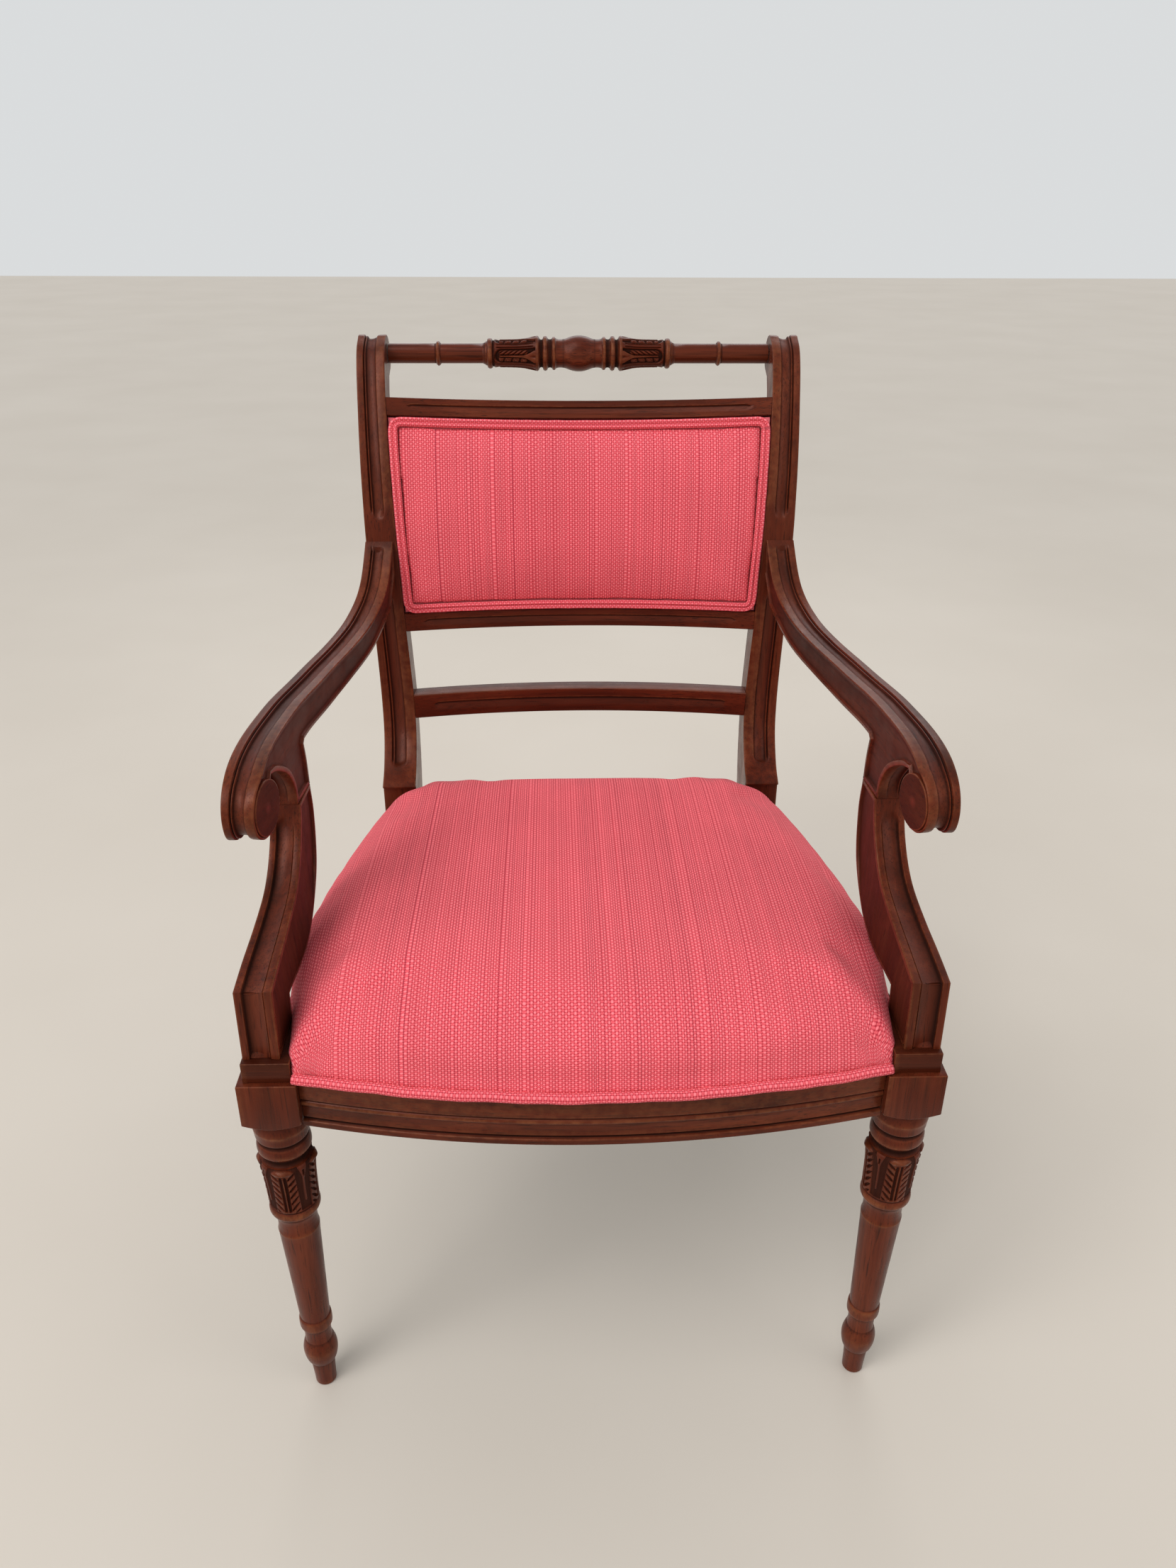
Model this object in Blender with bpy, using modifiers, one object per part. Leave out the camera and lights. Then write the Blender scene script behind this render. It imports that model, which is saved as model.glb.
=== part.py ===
"""Open armchair: show-wood frame with scrolled arms, turned crest rail and front legs,
upholstered seat and back panel. Every piece is a separate solid.

Metres, +Z up. The chair faces -Y and stands on Z = 0; left and right are the sitter's,
so the left side is +X. Side outlines give (distance behind the front feet, height).
"""
from math import atan, cos, hypot, pi, radians, sin

import bmesh
import bpy
from mathutils import Matrix, Vector

# ---- driving dimensions -------------------------------------------------------------
FOOT_Y = -0.2681          # centre line of the front feet
GAP = 0.0003              # clearance between pieces that touch
ARM_SCREW = 0.040         # length of the screws that hold the arms
SIDES = {"left": 1, "right": -1}

RAIL_BOTTOM = 0.336       # seat rails
RAIL_TOP = 0.3835
RAIL_THICK = 0.024
FRONT_MIDDLE = -0.048     # front face of the front rail at its middle and at its ends
FRONT_END = -0.020
REAR_RAIL_Y = 0.430       # front face of the rear rail

BLOCK_INNER = 0.2375      # square block on top of each front leg
BLOCK_OUTER = 0.2855
BLOCK_FRONT = -0.027
BLOCK_BACK = 0.021
BLOCK_BOTTOM = 0.338
BLOCK_TOP = 0.384
PLINTH_INNER = 0.2415     # narrower step between the block and the arm support
PLINTH_OUTER = 0.2805
PLINTH_FRONT = -0.022
PLINTH_BACK = 0.037
PLINTH_TOP = 0.403
LEG_X = 0.2615            # axis of the turned leg at its top and at its foot
LEG_FOOT_X = 0.2545

BACK_BOW = 0.018          # how far the middle of a back rail lies behind its ends
CREST_Y = 0.572           # axis of the crest rail, which is the eye of the stile scroll
CREST_Z = 0.8605
SCROLL_R = 0.0187
EYE = (0.054, 0.592)      # centre and radius of the arm scroll
EYE_R = 0.0236
EYE_SLANT = radians(10.6) # turn of the eye's face towards the front
SEAM_Z = 0.5515           # joint between the arm and its support

TENON = 0.018             # length of every tenon
WEB = 0.0012              # thickness of the seat webbing and of the covers
DUST_THICK = 0.0008
WELT_R = 0.0045

TURN_STEPS = 16
SPAN = 2                  # curve steps between two points of an outline

# ---- materials: name -> colour, roughness, metallic ---------------------------------
FINISH = {
    "mahogany": ((0.075, 0.018, 0.010), 0.32, 0.0),
    "inner_wood": ((0.40, 0.26, 0.15), 0.65, 0.0),
    "cover_fabric": ((0.72, 0.105, 0.13), 0.85, 0.0),
    "foam": ((0.85, 0.80, 0.62), 0.95, 0.0),
    "webbing": ((0.45, 0.34, 0.21), 0.9, 0.0),
    "black_cloth": ((0.02, 0.02, 0.022), 0.9, 0.0),
    "steel": ((0.55, 0.53, 0.48), 0.35, 1.0),
}

# ---- side outlines ------------------------------------------------------------------
STILE_FRONT = [
    (0.4165, 0.4225), (0.442, 0.4395), (0.464, 0.468), (0.4725, 0.503), (0.4745, 0.54),
    (0.4738, 0.58), (0.475, 0.63), (0.4790, 0.69), (0.486, 0.729), (0.4935, 0.759),
    (0.504, 0.789), (0.5165, 0.818), (0.531, 0.8475), (0.5465, 0.868), (0.567, 0.8788),
]
STILE_REAR = [
    (0.566, 0.838), (0.5535, 0.82), (0.541, 0.79), (0.5295, 0.76), (0.521, 0.73),
    (0.514, 0.695), (0.509, 0.65), (0.5075, 0.60), (0.5065, 0.55), (0.5035, 0.50),
    (0.4965, 0.46), (0.4860, 0.415), (0.4755, 0.365), (0.4715, 0.31), (0.476, 0.25),
    (0.494, 0.17), (0.523, 0.08), (0.5605, 0.0),
]
STILE_LEG_FRONT = [
    (0.535, 0.0), (0.497, 0.08), (0.462, 0.17), (0.437, 0.26), (0.4235, 0.34), (0.4215, 0.4205),
]
ARM_TOP = [
    (0.4373, 0.6468), (0.3877, 0.630), (0.3259, 0.6243), (0.2492, 0.625), (0.17, 0.6285),
    (0.1125, 0.6299), (0.072, 0.6265), (0.048, 0.6195), (0.034, 0.6085), (0.0285, 0.594),
    (0.032, 0.579), (0.042, 0.5705), (0.054, 0.5684),
]
ARM_ARCH = [
    (0.0755, 0.6105), (0.0949, 0.6037), (0.1189, 0.5887), (0.1320, 0.5705), (0.135, SEAM_Z + GAP),
]
ARM_UNDER = [
    (0.172, 0.5945), (0.199, 0.5955), (0.2527, 0.5946), (0.310, 0.596), (0.379, 0.602), (0.447, 0.6205),
]
SUPPORT_FRONT = [
    (-0.014, 0.467), (0.0215, 0.4735), (0.052, 0.480), (0.084, 0.4905), (0.104, 0.503),
    (0.121, 0.521), (0.131, 0.5385), (0.135, SEAM_Z),
]
SUPPORT_REAR = [
    (0.1745, SEAM_Z), (0.1775, 0.520), (0.168, 0.478), (0.146, 0.450), (0.119, 0.4335),
    (0.0785, 0.4275), (0.036, 0.4285),
]

# ---- plan widths: (distance or height, value) ---------------------------------------
STILE_OUTER = [(0.0, 0.2215), (0.43, 0.2215), (0.88, 0.232)]
STILE_WIDTH = [
    (0.0, 0.026), (0.30, 0.036), (0.50, 0.0364), (0.584, 0.0343), (0.70, 0.032), (0.824, 0.0292),
    (0.88, 0.029),
]
ARM_OUTER = [
    (0.0, 0.281), (0.08, 0.2808), (0.18, 0.274), (0.28, 0.2595), (0.38, 0.2405), (0.44, 0.2310),
    (0.48, 0.2275),
]
ARM_WIDTH = 0.0292
SUPPORT_OUTER = [(-0.02, 0.2795), (0.02, 0.279), (0.06, 0.2765), (0.10, 0.2735), (0.135, 0.2725)]
SUPPORT_WIDTH = [(-0.02, 0.030), (0.02, 0.0295), (0.06, 0.0278), (0.135, 0.026)]
SIDE_RAIL_OUTER = [(BLOCK_BACK, 0.274), (0.424, 0.2185)]

# Moulding across a sawn piece: (share of its width from the outer face, depth).
MOULDING = [(0.0, 0.0), (0.24, 0.0), (0.30, 0.0030), (0.76, 0.0030), (0.83, 0.0), (1.0, 0.0)]

# Turned profiles: (radius, height) from top to bottom, and (radius, distance from middle).
LEG_PROFILE = [
    (0.0, 0.345), (0.0195, 0.345), (0.0195, 0.3345), (0.0220, 0.3305), (0.0235, 0.3235), (0.0228, 0.3150),
    (0.0205, 0.3120), (0.0220, 0.3080), (0.0228, 0.3020), (0.0215, 0.2965), (0.0175, 0.2935),
    (0.0195, 0.2900), (0.0235, 0.2870), (0.0208, 0.2630), (0.0200, 0.2390), (0.0185, 0.2365),
    (0.0212, 0.2340), (0.0216, 0.2300), (0.0190, 0.2255), (0.0172, 0.2200), (0.0170, 0.2120),
    (0.0180, 0.2050), (0.0135, 0.0905), (0.0146, 0.0880), (0.0146, 0.0800), (0.0122, 0.0765),
    (0.0122, 0.0600), (0.0155, 0.0480), (0.0150, 0.0400), (0.0112, 0.0300), (0.0096, 0.0), (0.0, 0.0),
]
CREST_PROFILE = [
    (0.0181, 0.0), (0.0168, 0.0085), (0.0143, 0.0165), (0.0146, 0.0235), (0.0166, 0.0255), (0.0166, 0.0280),
    (0.0140, 0.0300), (0.0145, 0.0325), (0.0174, 0.0345), (0.0174, 0.0370), (0.0138, 0.0395),
    (0.0176, 0.0440), (0.0140, 0.0640), (0.0136, 0.0905), (0.0151, 0.0930), (0.0151, 0.0970),
    (0.0112, 0.0990), (0.0100, 0.1015), (0.0100, 0.1470), (0.0123, 0.1490), (0.0100, 0.1515),
    (0.0100, 0.2018),
]
CREST_PIN_R = 0.007
CREST_PIN = 0.012

BACK_FACE = 0.0185        # visible height of the upper back rail
BACK_TONGUE = 0.030       # its height with the tongue behind the panel
PAD_BOTTOM = 0.6045       # panel heights, along the front of the stiles
PAD_TOP = 0.8068
PAD_BORDER = 0.0142       # width taken by the double welt

SEAT_CENTRE = (0.0, 0.20)
SEAT_RINGS = [(0.0, 0.3868), (0.0, 0.405), (0.010, 0.4205), (0.028, 0.4335), (0.065, 0.443), (0.12, 0.448)]
STRAPS_ACROSS = [0.10, 0.21, 0.32]
STRAPS_ALONG = [-0.15, -0.05, 0.05, 0.15]
STRAP_WIDTH = 0.05

collection = None
cutters = None
finishes = {}


# ---- small tools --------------------------------------------------------------------
def clear_scene():
    for obj in list(bpy.data.objects):
        bpy.data.objects.remove(obj, do_unlink=True)


def make_collections():
    global collection, cutters
    collection = bpy.data.collections.new("armchair")
    cutters = bpy.data.collections.new("cutters")
    bpy.context.scene.collection.children.link(collection)
    bpy.context.scene.collection.children.link(cutters)


def finish(name):
    """The material of this name, made on first use."""
    if name not in finishes:
        colour, roughness, metallic = FINISH[name]
        material = bpy.data.materials.new(name)
        material.use_nodes = True
        shader = material.node_tree.nodes["Principled BSDF"]
        shader.inputs["Base Color"].default_value = (*colour, 1.0)
        shader.inputs["Roughness"].default_value = roughness
        shader.inputs["Metallic"].default_value = metallic
        finishes[name] = material
    return finishes[name]


def between(table, at):
    """The value at this place in a table of (place, value), straight between its rows."""
    if at <= table[0][0]:
        return table[0][1]
    for (a, low), (b, high) in zip(table, table[1:]):
        if at <= b:
            return low + (high - low) * (at - a) / (b - a)
    return table[-1][1]


def smooth(points, steps=SPAN):
    """Points on a Catmull-Rom curve through these ones."""
    points = [Vector(p) for p in points]
    ends = [2 * points[0] - points[1], *points, 2 * points[-1] - points[-2]]
    curve = []
    for a, b, c, d in zip(ends, ends[1:], ends[2:], ends[3:]):
        for i in range(steps):
            t = i / steps
            bend = (2 * a - 5 * b + 4 * c - d) * t**2
            curve.append(0.5 * (2 * b + (c - a) * t + bend + (3 * b - a - 3 * c + d) * t**3))
    return curve + [points[-1]]


def arc(centre, radius, start, end, steps):
    """Points on an arc, from one angle in degrees to another."""
    angles = [radians(start + (end - start) * i / steps) for i in range(steps + 1)]
    return [Vector((centre[0] + radius * cos(a), centre[1] + radius * sin(a))) for a in angles]


def object_of(name, mesh, material, helper=False):
    """A new object for this mesh. A helper only cuts or joins, and isn't a piece."""
    obj = bpy.data.objects.new(name, mesh)
    if helper:
        cutters.objects.link(obj)
        obj.hide_render = True
        obj.display_type = "WIRE"
    else:
        collection.objects.link(obj)
        mesh.materials.append(finish(material))
    return obj


def smooth_shade(obj, angle=35):
    obj.data.shade_smooth()
    obj.data.set_sharp_from_angle(angle=radians(angle))


def loft(name, rings, material, helper=False, closed=True, ends=True):
    """A skin over rings of equally many points; closed joins each ring's last point to its first."""
    mesh = bpy.data.meshes.new(name)
    bm = bmesh.new()
    rows = [[bm.verts.new(p) for p in ring] for ring in rings]
    count = len(rows[0])
    for low, high in zip(rows, rows[1:]):
        for i in range(count if closed else count - 1):
            j = (i + 1) % count
            bm.faces.new((low[i], low[j], high[j], high[i]))
    if ends:
        bm.faces.new(rows[0])
        bm.faces.new(rows[-1])
    bmesh.ops.recalc_face_normals(bm, faces=bm.faces)
    bm.to_mesh(mesh)
    bm.free()
    return object_of(name, mesh, material, helper)


def box(name, size, centre, material="inner_wood", helper=False, rake=0.0, turn=0.0):
    """A box of this size, leaned back by rake about X and turned about Z, both in radians."""
    mesh = bpy.data.meshes.new(name)
    bm = bmesh.new()
    bmesh.ops.create_cube(bm, size=1.0)
    bmesh.ops.scale(bm, vec=size, verts=bm.verts)
    bm.to_mesh(mesh)
    bm.free()
    obj = object_of(name, mesh, material, helper)
    obj.location = centre
    obj.rotation_euler = (-rake, 0.0, turn)
    return obj


def rod(name, radius, length, centre, axis, material="inner_wood", helper=False, sides=12):
    """A cylinder of this length about an axis through its centre."""
    mesh = bpy.data.meshes.new(name)
    bm = bmesh.new()
    bmesh.ops.create_cone(bm, cap_ends=True, segments=sides, radius1=radius, radius2=radius, depth=length)
    bm.to_mesh(mesh)
    bm.free()
    obj = object_of(name, mesh, material, helper)
    obj.location = centre
    obj.rotation_euler = Vector(axis).to_track_quat("Z", "Y").to_euler()
    return obj


def plate(name, outline, low, high, material):
    """A flat plate of this plan outline between two heights."""
    curve = bpy.data.curves.new(name, "CURVE")
    curve.dimensions = "2D"
    curve.fill_mode = "BOTH"
    curve.extrude = (high - low) / 2
    spline = curve.splines.new("POLY")
    spline.points.add(len(outline) - 1)
    for target, (x, y) in zip(spline.points, outline):
        target.co = (x, FOOT_Y + y, 0.0, 1.0)
    spline.use_cyclic_u = True
    guide = bpy.data.objects.new(f"{name}_outline", curve)
    cutters.objects.link(guide)
    graph = bpy.context.evaluated_depsgraph_get()
    mesh = bpy.data.meshes.new_from_object(guide.evaluated_get(graph))
    bpy.data.objects.remove(guide)
    bm = bmesh.new()
    bm.from_mesh(mesh)
    bmesh.ops.remove_doubles(bm, verts=bm.verts, dist=0.00001)
    bmesh.ops.recalc_face_normals(bm, faces=bm.faces)
    bm.to_mesh(mesh)
    bm.free()
    obj = object_of(name, mesh, material)
    obj.location.z = (low + high) / 2
    return obj


def turned(name, profile, material, helper=False, steps=TURN_STEPS):
    """A turned solid about Z from a profile of (radius, height) that runs from top to bottom."""
    mesh = bpy.data.meshes.new(name)
    points = [(radius, 0.0, height) for radius, height in profile]
    mesh.from_pydata(points, [(i, i + 1) for i in range(len(points) - 1)], [])
    obj = object_of(name, mesh, material, helper)
    screw = obj.modifiers.new("turn", "SCREW")
    screw.steps = steps
    screw.render_steps = steps
    screw.use_merge_vertices = True
    screw.merge_threshold = 0.0001
    return obj


def as_mesh(obj):
    """The same object with its modifiers applied."""
    graph = bpy.context.evaluated_depsgraph_get()
    obj.data = bpy.data.meshes.new_from_object(obj.evaluated_get(graph))
    obj.modifiers.clear()
    return obj


def combine(obj, others, operation):
    for other in others:
        boolean = obj.modifiers.new(operation.lower(), "BOOLEAN")
        boolean.operation = operation
        boolean.object = other
    return obj


def cut(obj, others):
    return combine(obj, others, "DIFFERENCE")


def join(obj, others):
    return combine(obj, others, "UNION")


def inward(outline):
    """Each point's unit normal into a closed outline."""
    count = len(outline)
    area = sum(outline[i - 1].cross(outline[i]) for i in range(count))
    turn = 1 if area > 0 else -1
    normals = []
    for i in range(count):
        along = (outline[(i + 1) % count] - outline[i - 1]).normalized()
        normals.append(Vector((-along.y, along.x)) * turn)
    return normals


def sawn(name, outline, plan, moulded, side, stations, material="mahogany"):
    """A piece sawn to a side outline and then to its plan, with a moulding worked across its edge.

    plan gives a point's outer X and the width there, and moulded its share of the moulding's
    depth. stations are the planes, as (distance or height, 0 or 1), where the plan may bend.
    """
    normals = inward(outline)
    rings = []
    for share, depth in MOULDING:
        edge = [p + n * (depth * moulded(p)) for p, n in zip(outline, normals)]
        rings.append([(share, p.x, p.y) for p in edge])
    piece = loft(name, rings, material)
    bm = bmesh.new()
    bm.from_mesh(piece.data)
    for place, level in stations:
        plane = ((0, 0, place), (0, 0, 1)) if level else ((0, place, 0), (0, 1, 0))
        geometry = bm.verts[:] + bm.edges[:] + bm.faces[:]
        bmesh.ops.bisect_plane(bm, geom=geometry, dist=0.0002, plane_co=plane[0], plane_no=plane[1])
    for vertex in bm.verts:
        share, y, z = vertex.co
        outer, width = plan(Vector((y, z)))
        vertex.co = at(side * (outer - share * width), y, z)
    bmesh.ops.recalc_face_normals(bm, faces=bm.faces)
    bm.to_mesh(piece.data)
    bm.free()
    return piece


# ---- shapes shared by several pieces ------------------------------------------------
STILE_CURVE = smooth(STILE_FRONT, 4)


def stile_front(height):
    """Distance behind the front feet of the stile's front edge."""
    return between([(p.y, p.x) for p in STILE_CURVE], height)


def stile_rake(height):
    """Backward lean of the stile there, in radians."""
    step = 0.01
    return atan((stile_front(height + step) - stile_front(height - step)) / (2 * step))


def stile_inner(height):
    """X of the stile's inner face."""
    return between(STILE_OUTER, height) - between(STILE_WIDTH, height)


def front_face(x):
    """Distance behind the front feet of the front rail's face."""
    return FRONT_MIDDLE + (FRONT_END - FRONT_MIDDLE) * (x / BLOCK_INNER) ** 2


def side_rail_inner(y):
    return between(SIDE_RAIL_OUTER, y) - RAIL_THICK


def at(x, y, z):
    """A point from its distance behind the front feet."""
    return Vector((x, FOOT_Y + y, z))


def spread(count):
    """Evenly spaced values from -1 to 1."""
    return [2 * i / count - 1 for i in range(count + 1)]


# ---- stiles, with the rear legs -----------------------------------------------------
def stile(side_name, side):
    scroll = arc((CREST_Y, CREST_Z), SCROLL_R, 92, -72, 8)
    rear = [Vector(p) for p in STILE_REAR]
    leg = [Vector(p) for p in STILE_LEG_FRONT]
    outline = smooth(STILE_FRONT) + scroll + rear + leg + [Vector((0.4165, 0.4210))]

    def plan(point):
        return between(STILE_OUTER, point.y), between(STILE_WIDTH, point.y)

    def moulded(point):
        on_front = point.x < stile_front(point.y) + 0.001 or (point.y > 0.868 and point.x < 0.589)
        below_arm = 0.436 < point.y < 0.635
        above_arm = point.y > 0.705
        return 1.0 if on_front and (below_arm or above_arm) else 0.0

    levels = [(z, 1) for z in (0.30, 0.43, 0.50, 0.584, 0.70, 0.824)]
    piece = sawn(f"stile_{side_name}", outline, plan, moulded, side, levels)
    cut(piece, stile_mortises(side_name, side))
    return piece


def stile_mortises(side_name, side):
    """Cutters for the sockets in one stile."""
    wide = 2 * GAP
    found = []
    for name, size, centre, rake in back_tenons(side):
        grown = (size[0] + wide, size[1] + wide, size[2] + wide)
        found.append(box(f"{name}_socket_{side_name}", grown, centre, helper=True, rake=rake))
    pin_x = side * (stile_inner(CREST_Z) + CREST_PIN / 2)
    pin = rod(f"crest_socket_{side_name}", CREST_PIN_R + GAP, CREST_PIN + wide, at(pin_x, CREST_Y, CREST_Z),
              (1, 0, 0), helper=True, sides=TURN_STEPS)
    size, centre = side_rail_tenon(side, 0.424)
    grown = (size[0] + wide, size[1] + wide, size[2] + wide)
    side_socket = box(f"side_rail_rear_socket_{side_name}", grown, centre, helper=True)
    return found + [pin, side_socket] + arm_screw_holes(side_name, side)


# ---- back rails ---------------------------------------------------------------------
def back_rails():
    """Each back rail: name, height of its reference edge, lean, section (back, up) and tenon level."""
    upper = [(0, 0), (0, -BACK_FACE), (0.010, -BACK_FACE), (0.010, -BACK_TONGUE), (0.022, -BACK_TONGUE)]
    upper.append((0.022, 0))
    lower = [(0, 0), (0.022, 0), (0.022, 0.032), (0.010, 0.032), (0.010, 0.020), (0, 0.020)]
    stay = [(0, 0), (0.022, 0), (0.022, 0.0275), (0, 0.0275)]
    return [
        ("upper_back_rail", 0.8245, radians(21), upper, -BACK_FACE / 2),
        ("lower_back_rail", 0.5840, radians(1.5), lower, 0.0100),
        ("stay_rail", 0.4825, radians(0), stay, 0.0137),
    ]


def back_tenons(side):
    """The tenons that enter one stile: name, size, centre and lean."""
    found = []
    back = 0.013
    for name, height, rake, _, middle in back_rails():
        y = stile_front(height) + back * cos(rake) + middle * sin(rake)
        z = height - back * sin(rake) + middle * cos(rake)
        x = side * (stile_inner(z) + TENON / 2 - 0.002)
        found.append((name, (TENON + 0.004, 0.008, 0.014), at(x, y, z), rake))
    z = (RAIL_BOTTOM + RAIL_TOP) / 2
    x = side * (stile_inner(z) + TENON / 2 - 0.002)
    rear = at(x, REAR_RAIL_Y + RAIL_THICK - 0.006, z)
    found.append(("rear_seat_rail", (TENON + 0.004, 0.008, 0.030), rear, 0.0))
    return found


def rail_tenons(rail):
    """Helpers for both tenons of this rail."""
    made = []
    for side_name, side in SIDES.items():
        for name, size, centre, rake in back_tenons(side):
            if name == rail:
                made.append(box(f"{name}_tenon_{side_name}", size, centre, helper=True, rake=rake))
    return made


def back_rail(name, height, rake, section):
    rings = []
    for share in spread(12):
        ring = []
        for back, up in section:
            back = back + BACK_BOW * (1 - share**2) + GAP
            y = stile_front(height) + back * cos(rake) + up * sin(rake)
            z = height - back * sin(rake) + up * cos(rake)
            ring.append(at(share * (stile_inner(z) - GAP), y, z))
        rings.append(ring)
    join(loft(name, rings, "mahogany"), rail_tenons(name))


def crest_rail():
    """Turned rail between the stile scrolls, with a pin at each end."""
    half = [(radius, along) for radius, along in CREST_PROFILE]
    end = half[-1][1]
    pins = [(CREST_PIN_R, end), (CREST_PIN_R, end + CREST_PIN), (0.0, end + CREST_PIN)]
    lower = half[1:] + pins
    upper = [(radius, along) for radius, along in reversed(lower)]
    profile = upper + [half[0]] + [(radius, -along) for radius, along in lower]
    piece = turned("crest_rail", profile, "mahogany")
    piece.rotation_euler = (0.0, pi / 2, 0.0)
    piece.location = at(0.0, CREST_Y, CREST_Z)
    smooth_shade(piece)


# ---- arms and their supports --------------------------------------------------------
def arm_outer(point):
    """Outer X of the arm; the spur that meets the support is set in a little."""
    outer = between(ARM_OUTER, point.x)
    if point.x > 0.09:
        outer -= 0.004 * min(1.0, max(0.0, (0.60 - point.y) / 0.03))
    return outer


def arm(side_name, side):
    rear = [Vector((stile_front(z) - GAP, z)) for z in (0.6475, 0.666, 0.6835)]
    eye = arc(EYE, EYE_R, -75, 40, 8)
    spur = [Vector((0.1745, SEAM_Z + GAP)), Vector((0.1735, 0.575))]
    outline = smooth([rear[-1], *ARM_TOP]) + eye + smooth(ARM_ARCH) + spur + smooth(ARM_UNDER) + rear[:-1]

    def plan(point):
        outer = arm_outer(point)
        inner = between(ARM_OUTER, point.x) - ARM_WIDTH + max(0.0, EYE[0] - point.x) * sin(EYE_SLANT)
        return outer, outer - inner

    def moulded(point):
        top = point.y > 0.613 and point.x < 0.462 and point.x > 0.07
        scroll = point.x < 0.071 and hypot(point.x - EYE[0], point.y - EYE[1]) > EYE_R + 0.0002
        arch = 0.085 < point.x < 0.1345 and 0.556 < point.y < 0.607
        return 1.0 if top or scroll or arch else 0.0

    places = [(y, 0) for y in (EYE[0], 0.10, 0.18, 0.23, 0.28, 0.33, 0.38, 0.43)]
    piece = sawn(f"arm_{side_name}", outline, plan, moulded, side, places)
    join(piece, [scroll_eye(side_name, side)])
    cut(piece, [dowel_hole("arm_dowel", side_name, side)] + arm_screw_holes(f"{side_name}_arm", side))


def scroll_eye(side_name, side):
    """Flat disc in the scroll, its rear edge proud of the arm's inner face."""
    axis = Vector((-side * cos(EYE_SLANT), -sin(EYE_SLANT), 0.0))
    face = at(side * (between(ARM_OUTER, EYE[0]) - ARM_WIDTH - 0.0003), EYE[0], EYE[1])
    thick = 0.009
    centre = face - axis * thick / 2
    return rod(f"scroll_eye_{side_name}", EYE_R - 0.0008, thick, centre, axis, helper=True, sides=32)


def arm_support(side_name, side):
    outline = [Vector((-0.0165, PLINTH_TOP + GAP))] + smooth(SUPPORT_FRONT) + smooth(SUPPORT_REAR)
    outline += [Vector((0.034, PLINTH_TOP + GAP))]

    def plan(point):
        return between(SUPPORT_OUTER, point.x), between(SUPPORT_WIDTH, point.x)

    def moulded(point):
        on_stem = point.y > 0.466 and point.x < 0.1345 and point.y > 0.4668 + 0.1 * point.x
        on_foot = point.x < -0.01
        return 1.0 if on_stem or on_foot else 0.0

    places = [(y, 0) for y in (0.02, 0.06, 0.10)]
    piece = sawn(f"arm_support_{side_name}", outline, plan, moulded, side, places)
    cut(piece, [dowel_hole(name, side_name + "_support", side) for name in dowels(side)])


def dowels(side):
    """Centre of each dowel on one side: arm to support, then support to leg."""
    return {
        "arm_dowel": at(side * 0.2595, 0.1545, SEAM_Z),
        "foot_dowel": at(side * 0.2645, 0.009, PLINTH_TOP),
    }


def dowel_hole(name, label, side):
    """Cutter for one dowel's hole."""
    centre = dowels(side)[name]
    return rod(f"{name}_hole_{label}", 0.004 + GAP, 0.031, centre, (0, 0, 1), helper=True, sides=10)


def make_dowels(side_name, side):
    for name, centre in dowels(side).items():
        smooth_shade(rod(f"{name}_{side_name}", 0.004, 0.030, centre, (0, 0, 1), sides=10))


# ---- fasteners ----------------------------------------------------------------------
def screw_profile(length):
    """A countersunk wood screw from its head at the top to its point."""
    head = [(0.0, 0.0), (0.0042, 0.0), (0.0042, -0.0008), (0.0020, -0.0032)]
    return head + [(0.0020, 0.004 - length), (0.0, -length)]


def wood_screw(name, head, axis, length):
    """A screw whose head is at this point and whose shank runs along axis."""
    piece = turned(name, screw_profile(length), "steel", steps=10)
    piece.location = head
    piece.rotation_euler = (-Vector(axis)).to_track_quat("Z", "Y").to_euler()
    smooth_shade(piece)


def screw_hole(name, head, axis, length):
    """Cutters for a screw: its shank's hole and the counterbore above its head."""
    axis = Vector(axis).normalized()
    deep = length + 0.001
    shank = rod(f"{name}_hole", 0.0020 + GAP, deep, head + axis * deep / 2, axis, helper=True, sides=10)
    bore = rod(f"{name}_bore", 0.0050, 0.040, head + axis * (0.0034 - 0.020), axis, helper=True)
    return [shank, bore]


def arm_screw_head(side):
    return at(side * 0.213, 0.4977, 0.657)


def arm_screw_holes(name, side):
    return screw_hole(f"arm_screw_{name}", arm_screw_head(side), (0, -1, 0), ARM_SCREW)


def arm_fixings(side_name, side):
    """The screw that holds the arm from behind the stile, and the plug over its head."""
    head = arm_screw_head(side)
    wood_screw(f"arm_screw_{side_name}", head, (0, -1, 0), ARM_SCREW)
    middle = head + Vector((0, 0.0070, 0))
    smooth_shade(rod(f"arm_plug_{side_name}", 0.0047, 0.0125, middle, (0, 1, 0), "mahogany"))


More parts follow.
